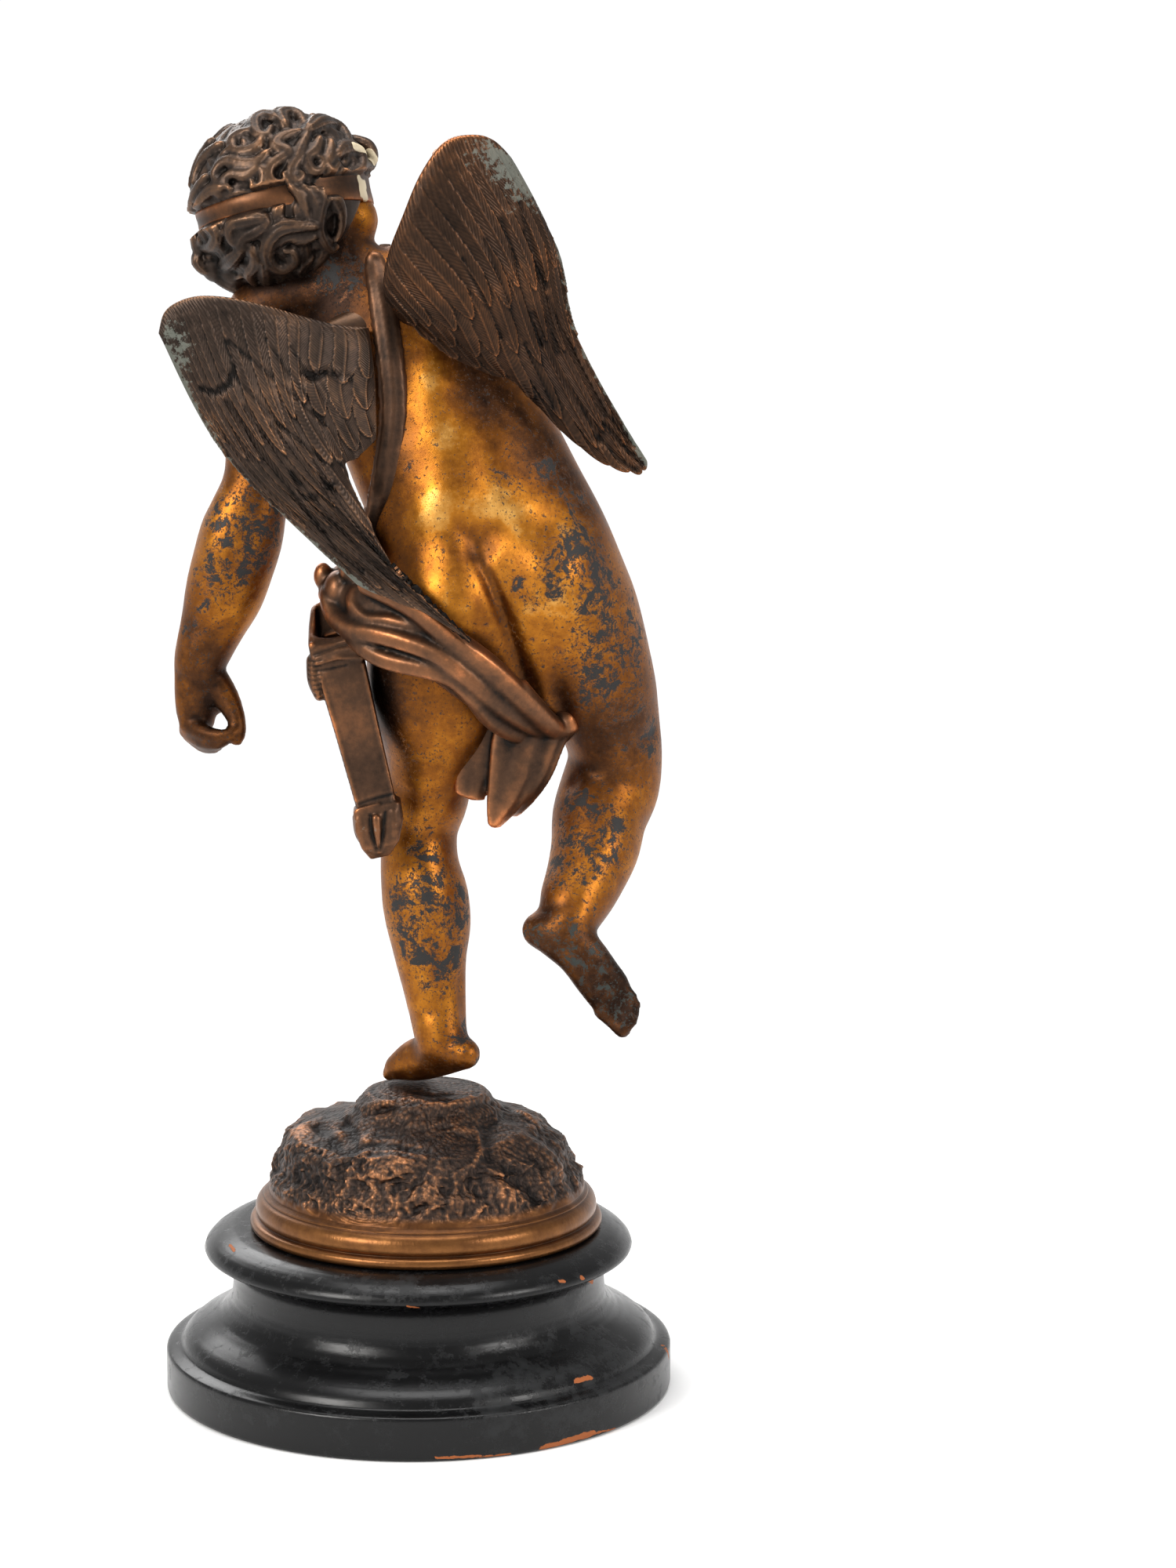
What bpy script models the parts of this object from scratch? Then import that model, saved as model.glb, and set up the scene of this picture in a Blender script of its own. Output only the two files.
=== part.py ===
"""A striding, blindfolded cupid in cast metal on a rocky mound and a turned black plinth.

Blender 4.5, metres, +Z up. The origin is the centre of the plinth's underside, the
figure walks towards +Y with its back to -Y, and +X is to the right seen from behind.
"""

import bpy
import bmesh
import numpy as np
from math import atan2, cos, exp, pi, radians, sin
from mathutils import Euler, Matrix, Vector, noise

# Driving dimensions, in metres.
PLINTH_RADIUS = 0.075
PLINTH_HEIGHT = 0.0483
FOOT_RING_HEIGHT = 0.0125
NECK_RADIUS = 0.0553
COLLAR_RADIUS = 0.0634
MOUND_RADIUS = 0.052
MOUND_HEIGHT = 0.0407
MOUND_RING_HEIGHT = 0.0100
MOUND_SHIFT = (0.0023, -0.0003)
FOOTHOLD_RADIUS = 0.017
FIGURE_HEIGHT = 0.2867
WING_THICKNESS = 0.0030
QUIVER_WALL = 0.0014
QUIVER_DEPTH = 0.011
CLEARANCE = 0.0003
SWELLING = 0.0006

# The pose is laid out in units, on a figure that is 286.7 units tall.
POSE_UNITS = 286.7
UNIT = FIGURE_HEIGHT / POSE_UNITS
ROCK_TOP = PLINTH_HEIGHT + CLEARANCE + MOUND_HEIGHT
SOLE_HEIGHT = ROCK_TOP + CLEARANCE

# How finely the forms are fused, in metres, and how many faces each piece keeps.
TURNING_STEPS = 36
FLESH_GRAIN = 0.0013
CARVED_GRAIN = 0.0009
CUTTER_GRAIN = 0.0011
FIGURE_FACES = 4480
WING_FACES = 950


def clear_scene():
    for item in list(bpy.data.objects):
        bpy.data.objects.remove(item, do_unlink=True)


def new_collection(name):
    group = bpy.data.collections.new(name)
    bpy.context.scene.collection.children.link(group)
    return group


def finish(name, colour, roughness, metallic):
    material = bpy.data.materials.new(name)
    material.use_nodes = True
    shader = material.node_tree.nodes["Principled BSDF"]
    shader.inputs["Base Color"].default_value = (*colour, 1.0)
    shader.inputs["Roughness"].default_value = roughness
    shader.inputs["Metallic"].default_value = metallic
    material.diffuse_color = (*colour, 1.0)
    return material


def add_object(name, mesh, group, material=None):
    item = bpy.data.objects.new(name, mesh)
    group.objects.link(item)
    if material:
        mesh.materials.append(material)
    return item


def pose_point(x, y, z):
    """A place in the pose's units, from the mound's axis and the sole of the foot."""
    return Vector((x * UNIT, y * UNIT, SOLE_HEIGHT + z * UNIT))


def smooth_rows(rows, steps):
    """Rows of numbers, joined by a curve that passes through each of them."""
    out = []
    last = len(rows) - 1
    for i in range(last):
        before, here = rows[max(i - 1, 0)], rows[i]
        there, after = rows[i + 1], rows[min(i + 2, last)]
        for k in range(steps):
            t = k / steps
            out.append([
                0.5 * (2 * b + (c - a) * t + (2 * a - 5 * b + 4 * c - d) * t * t
                       + (3 * b - a - 3 * c + d) * t ** 3)
                for a, b, c, d in zip(before, here, there, after)
            ])
    out.append(list(rows[last]))
    return out


def skin(shape, rings, start, end):
    """Faces between rings of points, closed by a point at each end."""
    loops = [[shape.verts.new(p) for p in ring] for ring in rings]
    sides = len(loops[0])
    for one, two in zip(loops, loops[1:]):
        for k in range(sides):
            n = (k + 1) % sides
            shape.faces.new((one[k], one[n], two[n], two[k]))
    first, last = shape.verts.new(start), shape.verts.new(end)
    for k in range(sides):
        n = (k + 1) % sides
        shape.faces.new((loops[0][n], loops[0][k], first))
        shape.faces.new((loops[-1][k], loops[-1][n], last))


def limb(shape, rows, sides=16, steps=4, across=(0, 1, 0)):
    """A round form through stations of x, y, z, half width and half depth."""
    rows = smooth_rows([r if len(r) == 5 else (*r, r[3]) for r in rows], steps)
    centres = [pose_point(*r[:3]) for r in rows]
    rings = []
    for i, row in enumerate(rows):
        ahead = centres[min(i + 1, len(rows) - 1)] - centres[max(i - 1, 0)]
        ahead.normalize()
        wide = ahead.cross(Vector(across)).normalized()
        deep = wide.cross(ahead).normalized()
        half_width, half_depth = row[3] * UNIT, row[4] * UNIT
        ends = []
        if i == 0:
            ends = [(-0.75, 0.66), (-0.4, 0.92)]
        elif i == len(rows) - 1:
            ends = [(0.4, 0.92), (0.75, 0.66)]
        for shift, share in ([] if i else ends) + [(0, 1)] + (ends if i else []):
            rings.append([
                centres[i] + ahead * (shift * min(half_width, half_depth))
                + wide * (half_width * share * cos(2 * pi * k / sides))
                + deep * (half_depth * share * sin(2 * pi * k / sides))
                for k in range(sides)
            ])
        if i == 0:
            start = centres[i] - ahead * min(half_width, half_depth)
        if i == len(rows) - 1:
            end = centres[i] + ahead * min(half_width, half_depth)
    skin(shape, rings, start, end)


def ball(shape, centre, radii, turn=(0, 0, 0)):
    """An ellipsoid in the pose's units, turned by degrees about X, Y and Z."""
    spin = Euler([radians(a) for a in turn]).to_matrix().to_4x4()
    size = Matrix.Diagonal((*[r * UNIT for r in radii], 1))
    place = Matrix.Translation(pose_point(*centre))
    bmesh.ops.create_uvsphere(shape, u_segments=20, v_segments=12, radius=1,
                              matrix=place @ spin @ size)


def solid_from(name, shape, group, grain, rounds, faces=None):
    """The bmesh's overlapping forms fused into one skin, softened and thinned."""
    bmesh.ops.recalc_face_normals(shape, faces=shape.faces)
    mesh = bpy.data.meshes.new(name)
    shape.to_mesh(mesh)
    shape.free()
    item = add_object(name, mesh, group)
    fuse_forms(item, grain)
    if rounds:
        soften = item.modifiers.new("Soften", "SMOOTH")
        soften.factor = 0.5
        soften.iterations = rounds
    apply_modifiers(item)
    if faces:
        thin(item, faces)
    return item


def fuse_forms(item, grain):
    fuse = item.modifiers.new("Fuse", "REMESH")
    fuse.mode = "VOXEL"
    fuse.voxel_size = grain
    fuse.adaptivity = 0


def apply_modifiers(item):
    scene = bpy.context.evaluated_depsgraph_get()
    scene.update()
    mesh = bpy.data.meshes.new_from_object(item.evaluated_get(scene))
    item.modifiers.clear()
    item.data = mesh


def thin(item, faces):
    """Fewer faces, kept where the form turns."""
    item.data.calc_loop_triangles()
    count = len(item.data.loop_triangles)
    if count > faces:
        step = item.modifiers.new("Thin", "DECIMATE")
        step.ratio = faces / count
        step.use_collapse_triangulate = True
        apply_modifiers(item)


def press(mesh, path, width, depth):
    """A groove along a path, or a swelling where the depth is negative."""
    points = [np.array(pose_point(*p)) for p in path]
    width, depth = width * UNIT, depth * UNIT
    count = len(mesh.vertices)
    places, normals = np.empty(count * 3), np.empty(count * 3)
    mesh.vertices.foreach_get("co", places)
    mesh.vertices.foreach_get("normal", normals)
    places, normals = places.reshape(-1, 3), normals.reshape(-1, 3)
    nearest = np.full(count, 1e9)
    for one, two in zip(points, points[1:] or points):
        along = two - one
        share = (places - one) @ along / max(along @ along, 1e-12)
        foot = one + np.clip(share, 0, 1)[:, None] * along
        nearest = np.minimum(nearest, np.linalg.norm(places - foot, axis=1))
    places -= normals * (depth * np.exp(-(nearest / width) ** 2))[:, None]
    mesh.vertices.foreach_set("co", places.ravel())
    mesh.update()


def turned(name, profile, group, material, shift=(0, 0)):
    """A profile of radius and height, from top to bottom, turned about the axis."""
    mesh = bpy.data.meshes.new(name)
    mesh.from_pydata([(r, 0, z) for r, z in profile],
                     [(i, i + 1) for i in range(len(profile) - 1)], [])
    item = add_object(name, mesh, group, material)
    item.location = (*shift, 0)
    turn = item.modifiers.new("Turn", "SCREW")
    turn.axis = "Z"
    turn.angle = 2 * pi
    turn.steps = turn.render_steps = TURNING_STEPS
    turn.use_merge_vertices = True
    turn.merge_threshold = 0.00001
    return item


# The figure's stations: x, y, z, half width and half depth, in the pose's units.
TORSO = [
    (31.4, 0, 116, 13.7, 16), (27.3, 0, 136.6, 30.7, 24), (22.5, 0, 156, 35.5, 26),
    (16.8, 3, 175.2, 31.6, 25), (10.9, 6, 187.5, 30.7, 24), (2.7, 9, 204, 29.2, 22),
    (-5.6, 11, 217.4, 28.5, 20), (-13, 12, 227.5, 25, 17), (-19.8, 13, 236.5, 14.2, 13),
    (-25.4, 14, 245.4, 11.9, 12), (-30.9, 15, 254.3, 11.4, 12),
]
LEFT_LEG = [
    (7.5, 0, 138.9, 21, 22), (6.8, 1, 122.7, 19, 21), (6.3, 2, 109.9, 17.2, 19),
    (4.4, 4, 96.8, 13.5, 15.5), (3.2, 5, 85, 12, 13.5), (1.1, 6, 76.7, 11.1, 12),
    (0.8, 4, 66.5, 11.6, 12.5), (2.3, 2, 57.5, 12.8, 13.5), (3.5, 1, 48.3, 12.5, 13),
    (4.0, 0, 39.1, 10.7, 11), (5.1, -1, 29.9, 9.35, 9.5), (6.2, -3, 20.9, 8.4, 8.8),
    (7.2, -5, 14.3, 7.7, 8.2),
]
LEFT_FOOT = [
    (14, -12, 12.6, 4.8), (10.8, -7, 11.9, 6), (5.8, -2, 9.8, 6.5),
    (0.4, 3, 7.6, 6.4, 6.7), (-4.6, 8, 4.9, 6.8, 4.8), (-7.6, 11, 3.5, 6.6, 3.5),
]
RIGHT_LEG = [
    (40.5, -3, 160, 17.5, 21), (42.4, -2, 152.7, 18.4, 22), (46, 0, 139.9, 19.8, 22),
    (52.4, 2, 124.7, 17.1, 20), (56.1, 6, 110.2, 15.2, 17), (58.6, 9, 98.1, 13.8, 15.5),
    (57.2, 9, 88.7, 14.6, 15), (53.7, 3, 80.4, 14, 14.5), (52.1, -4, 72.4, 13.1, 13.5),
    (48.8, -11, 64.5, 11.6, 12), (45.6, -17, 58.7, 10.4, 11), (43.6, -22, 54, 8.6, 9),
]
RIGHT_FOOT = [
    (35.4, -22, 51.5, 5.6), (40.6, -25, 50.4, 7.2, 6.5), (46.4, -26, 46, 7.2, 6),
    (51.8, -26, 38.6, 7.2, 5), (55.7, -26, 33.3, 7.2, 4),
]
LEFT_ARM = [
    (-37, 14, 230, 11, 12), (-42.6, 14, 225.8, 11.6), (-43.4, 14, 217.3, 12),
    (-43.8, 13, 203.8, 11.4), (-44.6, 12, 190.2, 10.3), (-45.6, 10, 179, 9.8),
    (-47.9, 9, 170, 11), (-50.1, 9, 163.2, 12.2), (-52.9, 9, 154, 12.1),
    (-55.8, 9, 144.9, 11.5), (-59.3, 9, 135.7, 9.5), (-62.6, 9, 126.5, 8),
    (-63.6, 9, 120.5, 7, 6.6), (-64.1, 9.5, 114.5, 6.7, 5.2), (-64.2, 10.5, 107.5, 5.6, 4.8),
]
RIGHT_ARM = [
    (-2, 14, 235, 12), (6, 22, 232, 11.4), (12, 34, 223, 10.6), (16, 49, 213, 9.8),
    (15.6, 58, 213.5, 9.8), (14.8, 68, 225, 10), (13.8, 79, 242, 7.6),
    (12.8, 85, 251, 6.2), (12.4, 88.5, 258, 6.6, 5), (12, 91, 263, 5.6, 4.2),
]
SHOULDERS = [(-35, 14, 231, 11, 12), (-16, 13, 232, 13, 14), (0, 14, 234, 12, 13)]
PALM = [(-61, 10.5, 121, 6, 4), (-60, 11, 116, 6.6, 3.2), (-59.8, 10.5, 112.8, 5.4, 3)]
LEFT_FINGERS = [
    [(-58.4, 8, 119.8, 4.6), (-55.0, 6, 115, 3.9), (-52.4, 3.5, 110, 2.9),
     (-51.6, 2, 105.8, 2.4), (-52.0, 1.4, 103.6, 1.8)],
    [(-66.0, 9, 107.0, 3.3), (-62.0, 4, 105.6, 2.6), (-57.5, 1, 105.1, 2.1),
     (-53.4, 0, 105.6, 1.7)],
    [(-66.6, 12, 105.2, 3.1), (-62.6, 6, 103.0, 2.5), (-58.6, 2.5, 102.5, 2.1),
     (-55.6, 1.5, 103.4, 1.7)],
    [(-66.2, 15, 103.8, 3.0), (-62.2, 9.6, 101.0, 2.4), (-59.4, 5.6, 100.9, 2.0),
     (-57.4, 4.4, 101.6, 1.6)],
    [(-65.2, 18, 102.6, 2.7), (-61.4, 13.6, 99.9, 2.1), (-59.0, 10.4, 99.9, 1.7)],
]
RAISED_TOES = [
    [(53.6, -26, 28.6, 3.0), (56.8, -27.4, 25.6, 2.6), (58.9, -28.8, 23.6, 2.6)],
    [(57.0, -26, 30.0, 2.2), (60.2, -28.2, 27.0, 1.9), (61.5, -29.4, 25.9, 1.8)],
    [(58.2, -26, 32.0, 2.2), (61.4, -28.4, 29.2, 1.8), (62.5, -29.4, 28.3, 1.7)],
    [(58.6, -25.6, 34.2, 2.1), (61.8, -28.0, 31.4, 1.7), (62.8, -28.8, 30.7, 1.6)],
    [(58.2, -25.0, 36.2, 2.0), (61.0, -27.0, 33.8, 1.6), (61.9, -27.6, 33.1, 1.5)],
]
RIGHT_FINGERS = [
    [(8, 87, 257, 2.8), (4.6, 91, 261, 2.5), (5.4, 96, 264, 2.1)],
    [(8.6, 91, 265, 2.4), (7.6, 95, 270, 2.1), (8, 100, 271, 1.8)],
    [(11, 92, 266, 2.4), (10.6, 96, 271.5, 2.1), (11, 101, 272, 1.8)],
    [(13.4, 92, 265.5, 2.3), (13.8, 96, 270, 2), (14.2, 100.4, 270, 1.8)],
    [(15.8, 91, 264, 2.2), (17, 94.6, 267.6, 1.9), (17.6, 98.4, 267.6, 1.7)],
]
HEAD_CENTRE = (-37.4, 16, 258.5)
HEAD_TURN = 55
HEAD_TILT = 12.5
HEAD_BOW = 8
HEAD_RADII = (22.5, 25, 23)
BAND_LEVEL = -1.0


def head_axes():
    """The head turned to the right, leaning to the left and bowed a little."""
    return (Matrix.Rotation(radians(-HEAD_BOW), 3, "X")
            @ Matrix.Rotation(radians(-HEAD_TILT), 3, "Y")
            @ Matrix.Rotation(radians(-HEAD_TURN), 3, "Z"))


def on_head(x, y, z):
    """A place in the head's own right, forward and up, as a place of the pose."""
    p = head_axes() @ Vector((x, y, z))
    return tuple(a + b for a, b in zip(HEAD_CENTRE, p))


def on_skull(turn, rise, lift=0.0):
    """A place on the skull: degrees round from the back, degrees up, and a lift."""
    t, r = radians(turn), radians(rise)
    way = (sin(t) * cos(r), -cos(t) * cos(r), sin(r))
    return on_head(*[w * (s + lift) for w, s in zip(way, HEAD_RADII)])


# Locks of hair on the skull: thickness, then degrees round from the back towards the
# right, degrees up, and now and then how far off the skull.
LOCKS = [
    (2.6, (69, 55), (58, 65), (46, 58), (49, 44), (56, 40), (62, 47)),
    (2.8, (73, 46), (77, 61), (98, 65), (100, 57), (92, 46)),
    (3.0, (90, 38), (111, 46), (139, 45), (138, 36), (121, 23)),
    (2.4, (142, 29), (143, 22, 5), (144, 16, 5), (145, 11, 3), (127, 10), (133, 16)),
    (2.2, (101, 17), (112, 22), (127, 22), (132, 15), (122, 7), (110, 3), (104, 6)),
    (1.9, (82, 38), (69, 37), (61, 31), (68, 24), (55, 17), (53, 10), (56, 5), (62, 5), (62, 10)),
    (1.9, (86, 34), (78, 26), (73, 19), (68, 13), (66, 7), (69, 4), (73, 7), (70, 10)),
    (1.9, (94, 30), (86, 22), (79, 18), (79, 10), (84, 8), (89, 13), (87, 17)),
    (1.8, (102, 27), (97, 18), (91, 12), (94, 7), (100, 11)),
    (1.9, (43, 48), (31, 48), (25, 43), (30, 35), (38, 34), (37, 41)),
    (1.8, (52, 37), (46, 32), (36, 32), (25, 36), (18, 32)),
    (1.9, (54, 26), (46, 21), (36, 23), (25, 28), (17, 26), (14, 20), (19, 15), (23, 18)),
    (1.7, (47, 17), (38, 15), (29, 18), (23, 15), (26, 9)),
    (1.7, (50, 16), (50, 10), (47, 5), (42, 6), (42, 10)),
    (2.0, (13, 43), (-5, 39), (-12, 32), (-14, 22)),
    (2.0, (-13, 51), (-24, 42), (-26, 33), (-28, 22)),
    (1.9, (21, 11), (11, 12), (-2, 8), (-14, 3)),
    (1.9, (6, 21), (-4, 16), (-15, 11), (-30, 6)),
    (1.7, (65, 0), (69, -6), (70, -13), (71, -21)),
    (1.7, (72, -1), (76, -7), (77, -15), (73, -23)),
    (1.8, (78, -3), (83, -9), (80, -18), (78, -28), (82, -38), (91, -46), (96, -43)),
    (1.9, (85, -5), (92, -12), (96, -21), (96, -31), (93, -38)),
    (2.4, (43, -14), (33, -13), (23, -13), (17, -18), (17, -25), (26, -28)),
    (2.2, (44, -18), (37, -21), (26, -23), (16, -31), (-5, -37), (-36, -36)),
    (2.4, (74, -26), (62, -24), (52, -24), (43, -29), (36, -38), (35, -49), (44, -54), (56, -49),
     (56, -41), (51, -39)),
    (1.8, (74, -33), (65, -34), (56, -31), (48, -34)),
    (2.4, (-6, -6), (3, -10), (5, -17), (-7, -22), (-29, -19), (-20, -14)),
    (2.6, (-32, -8, 2), (-32, -13, 3), (-33, -19, 4), (-34, -24, 3), (-26, -26)),
    (2.6, (-33, -21, 4), (-34, -24, 6), (-34, -30, 6), (-35, -34, 4), (-35, -34, 2)),
    (2.2, (21, -30), (2, -35), (-36, -37), (-37, -44, 3), (-7, -48)),
    (2.0, (28, -32), (22, -43), (3, -50), (-19, -62), (-47, -69, 3)),
    (2.0, (31, -42), (22, -53), (-16, -67), (-48, -70, 5)),
    (2.4, (-36, -39, 5), (-38, -46, 5), (-40, -55, 5), (-42, -62, 6), (-46, -69, 7)),
    (2.4, (178, 34), (168, 44), (160, 52), (150, 60)),
    (2.2, (196, 30), (186, 42), (178, 52), (172, 64)),
    (2.2, (170, 22), (160, 28), (152, 34), (158, 42)),
]
HAIR_LIFT = 2.0
MIRRORED_FROM = 38


def lock_of_hair(shape, thick, stations, side=1):
    """A strand that is thin at its root, full in its middle and ends in a curl."""
    rows = []
    for k, station in enumerate(stations):
        turn, rise, lift = (*station, HAIR_LIFT)[:3]
        share = k / (len(stations) - 1)
        full = 0.62 + 0.38 * sin(pi * min(1, 0.2 + share * 0.9))
        rows.append((*on_skull(side * turn, rise, lift), thick * full))
    limb(shape, rows, sides=7, steps=2, across=(0.31, 0.22, 0.93))


def add_head(shape):
    """A child's round head: skull, full cheeks, small nose, lips and chin."""
    axes = head_axes().to_euler()
    turn = [a * 180 / pi for a in axes]
    ball(shape, HEAD_CENTRE, HEAD_RADII, turn)
    ball(shape, on_head(0, 7, -9), (15.5, 15.5, 15), turn)
    for side in (-1, 1):
        ball(shape, on_head(side * 10.5, 14, -9.5), (8.4, 8.4, 8.6), turn)
        ball(shape, on_head(side * 20, 1, -6), (2.4, 4.2, 6), turn)
    ball(shape, on_head(0, 20, -19.5), (5.2, 4.6, 4.6), turn)
    ball(shape, on_head(0, 22.6, -13.0), (4.4, 2.4, 1.3), turn)
    ball(shape, on_head(0, 22.2, -15.4), (3.6, 2.4, 1.5), turn)
    limb(shape, [(*on_head(0, 22, 1), 1.7), (*on_head(0, 24, -4), 1.9),
                 (*on_head(0, 25.6, -8.4), 2.7)], sides=8, steps=2, across=(0, 0.3, 1))


def add_hair(shape):
    """The locks that the back shows, and plainer ones like them on the far side."""
    for thick, *stations in LOCKS:
        lock_of_hair(shape, thick, stations)
        middle = stations[len(stations) // 2][0]
        if MIRRORED_FROM < middle < 150:
            lock_of_hair(shape, thick, stations, side=-1)


def add_band(shape):
    """The cloth tied over the eyes, wider at the front."""
    rows = []
    for k in range(25):
        turn = 360 * k / 24
        front = 0.5 - 0.5 * cos(radians(turn))
        x, y = (HEAD_RADII[0] + 0.6) * sin(radians(turn)), -(HEAD_RADII[1] + 0.6) * cos(radians(turn))
        rows.append((*on_head(x, y, BAND_LEVEL), 2.6 + 3.0 * front, 1.5))
    axis = head_axes() @ Vector((0, 0, 1))
    band_ring(shape, rows, axis)


def band_ring(shape, rows, axis):
    """A closed hoop of flat section about an axis."""
    loops = []
    centre = pose_point(*HEAD_CENTRE)
    for row in rows[:-1]:
        p = pose_point(*row[:3])
        out = p - centre
        out -= axis * out.dot(axis)
        out.normalize()
        loops.append([shape.verts.new(p + axis * (row[3] * UNIT * a) + out * (row[4] * UNIT * b))
                      for a, b in ((-1, -1), (-1, 1), (1, 1), (1, -1))])
    for one, two in zip(loops, loops[1:] + loops[:1]):
        for k in range(4):
            n = (k + 1) % 4
            shape.faces.new((one[k], one[n], two[n], two[k]))


# Toes of the standing foot: how far to the inner side, how long and how thick.
STANDING_TOES = [(5.0, 7.2, 2.6), (1.6, 7.0, 1.9), (-1.2, 6.2, 1.8), (-3.6, 5.2, 1.7),
                 (-5.8, 4.0, 1.6)]
BALL_OF_FOOT = (-6.4, 10.4, 2.9)
TOE_LEVEL = 3.0


def add_toes(shape):
    ahead, inner = Vector((-0.71, 0.69, 0)), Vector((0.69, 0.71, 0))
    for side, reach, thick in STANDING_TOES:
        root = Vector(BALL_OF_FOOT) + inner * side - ahead * 2
        tip = root + ahead * reach - Vector((0, 0, TOE_LEVEL - thick))
        limb(shape, [(*root, thick), (*((root + tip) / 2 + Vector((0, 0, 0.6))), thick),
                     (*tip, thick)], sides=8, steps=2, across=(0, 0, 1))
    for toe in RAISED_TOES:
        limb(shape, toe, sides=8, steps=2)


def body_forms():
    shape = bmesh.new()
    for rows in (TORSO, LEFT_LEG, RIGHT_LEG, LEFT_ARM, SHOULDERS):
        limb(shape, rows)
    limb(shape, RIGHT_ARM, across=(1, 0, 0))
    limb(shape, LEFT_FOOT, across=(0, 0, 1))
    limb(shape, RIGHT_FOOT)
    ball(shape, (10.2, -12, 145), (17.5, 16.5, 18))
    ball(shape, (37.6, -12, 152.8), (18, 17, 18.5))
    ball(shape, (22, 21, 168), (24, 12, 22))
    ball(shape, (-10, 24, 216), (20, 9, 14))
    add_head(shape)
    return shape


def carve_body(mesh):
    """The furrow of the back, the cleft, the hollows and the creases."""
    press(mesh, [(5, -12, 212), (12, -17, 192), (19, -21, 176)], 5.0, 1.6)
    press(mesh, [(20, -22, 170), (22, -24, 164)], 4.0, 1.8)
    press(mesh, [(24, -26, 160), (30, -30, 148), (38, -26, 128), (44, -18, 112)], 2.8, 2.8)
    press(mesh, [(7, -21, 176)], 7.0, -1.4)
    press(mesh, [(27, -21, 176)], 7.0, -1.4)
    press(mesh, [(-6, -6, 96), (8, -14, 92)], 3.0, 1.2)
    press(mesh, [(44, 0, 96), (60, -8, 92)], 2.4, 1.6)


HIP_SHEET = [
    (-19, -7, 147, 6.0, 4), (-12, -16, 144, 7.6, 4), (-4, -22, 140.5, 8.4, 4),
    (6, -25.5, 134.5, 8.6, 4), (16, -24, 126, 8.0, 4), (26, -18, 117, 7.0, 4),
    (35, -9, 109.5, 5.0, 4), (41, -5, 106.5, 3.0, 3),
]
DRAPE_FOLDS = [
    [(-13.3, -20, 151.7, 3.8, 3.2), (-1, -26.5, 146.4, 4.4, 3.4), (10, -29, 137.1, 5, 3.6),
     (19.9, -28, 129.1, 5.2, 3.8), (28.9, -23, 119.7, 4.8, 3.8), (37.1, -14, 111.1, 4, 3.4),
     (42.2, -5, 106.2, 3.4, 3)],
    [(-22.6, 2, 150.7, 2.6), (-25, -4, 146.8, 2.7), (-22.9, -9.5, 141.3, 3.0),
     (-17.9, -16.5, 138.4, 3.2), (-11.1, -22.5, 138.0, 3.1), (-3.3, -27, 136.4, 3.0),
     (6.6, -30, 132.8, 3.0), (15, -29.5, 126.1, 3.1), (22.2, -25.5, 118.8, 3.1),
     (30.2, -18, 112.3, 3.0), (37.3, -9, 107.6, 2.7)],
    [(-20.2, -12, 138.0, 2.2), (-15, -18.5, 133.7, 2.8), (-7.8, -23.5, 130.5, 3.0),
     (3.3, -27.5, 128.4, 3.0), (11, -28, 125.6, 3.0), (16.6, -26.5, 120.1, 3.2),
     (21.1, -22, 113.6, 3.0), (26.9, -15.5, 108.6, 2.9), (33.9, -8.5, 105.6, 2.5)],
    [(-15.2, -11, 149.8, 2.6), (-17.2, -14, 145.6, 2.8), (-13.4, -19, 141.6, 2.8),
     (-6.6, -24, 141.6, 2.4), (2, -27.5, 139.4, 2.0)],
    [(30, -24.5, 122.6, 2.4), (36, -18, 114.6, 2.4), (41.5, -9.5, 107.6, 2.2)],
    [(43, -6, 110, 5), (41, 8, 114, 5), (31, 21, 124, 5.4), (16, 27, 136, 5.4),
     (2, 26, 146, 5), (-9, 17, 153, 4.4), (-17, 6, 154, 3.6), (-22.6, 2, 151, 2.6)],
    [(38, -6, 104, 4), (36, 10, 106, 4.6), (25, 21, 116, 5), (10, 26, 128, 5),
     (-2, 24, 138, 4.4), (-12, 15, 146, 3.8), (-19, 5, 149, 3)],
]
CLOTH_ENDS = [
    [(25, -7, 113, 6.4, 3.2), (20.6, -7, 106, 6.4, 2.2), (17.8, -7.5, 98, 6.0, 1.7),
     (15.8, -7.5, 91, 5.2, 1.4), (15.0, -7.5, 88.6, 4.6, 1.2)],
    [(33, -9, 113, 8, 4.2), (29.6, -10, 105, 8.2, 3.6), (27.4, -11, 95, 7.0, 3.2),
     (24.6, -11, 86.4, 4.8, 2.6), (22.6, -10, 81, 2.4, 1.8)],
    [(40, -7, 110, 5.2, 4), (37.2, -8, 103, 5.0, 3.4), (34.8, -8.4, 96, 4.6, 3),
     (31.6, -8.4, 89.5, 3.6, 2.6), (28.4, -8, 84.2, 2.2, 2)],
]
SASH = [
    (-12, 3, 243, 3.6, 2.6), (-10.5, -4, 238.5, 4.0, 2.2), (-9.0, -9, 227.6, 4.2, 2.0),
    (-6.6, -11.9, 213.6, 4, 2.0), (-4.9, -14.6, 201.3, 3.9, 2.0), (-5.4, -17.6, 191, 3.9, 2.0),
    (-8.6, -19.8, 179, 3.9, 2.2), (-11.6, -18, 169, 4, 2.6), (-14, -11, 160, 4.6, 3),
]
SASH_FRONT = [
    (-12, 3, 243, 3.6, 2.6), (-8, 13, 243, 4, 2.4), (-2, 24, 237, 4, 2.2),
    (-1, 31, 221, 4, 2.2), (-4, 32, 205, 4, 2.2), (-6, 30.5, 189, 4, 2.2),
    (-9, 27, 175, 4, 2.4), (-12, 16, 164, 4.4, 3),
]


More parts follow.
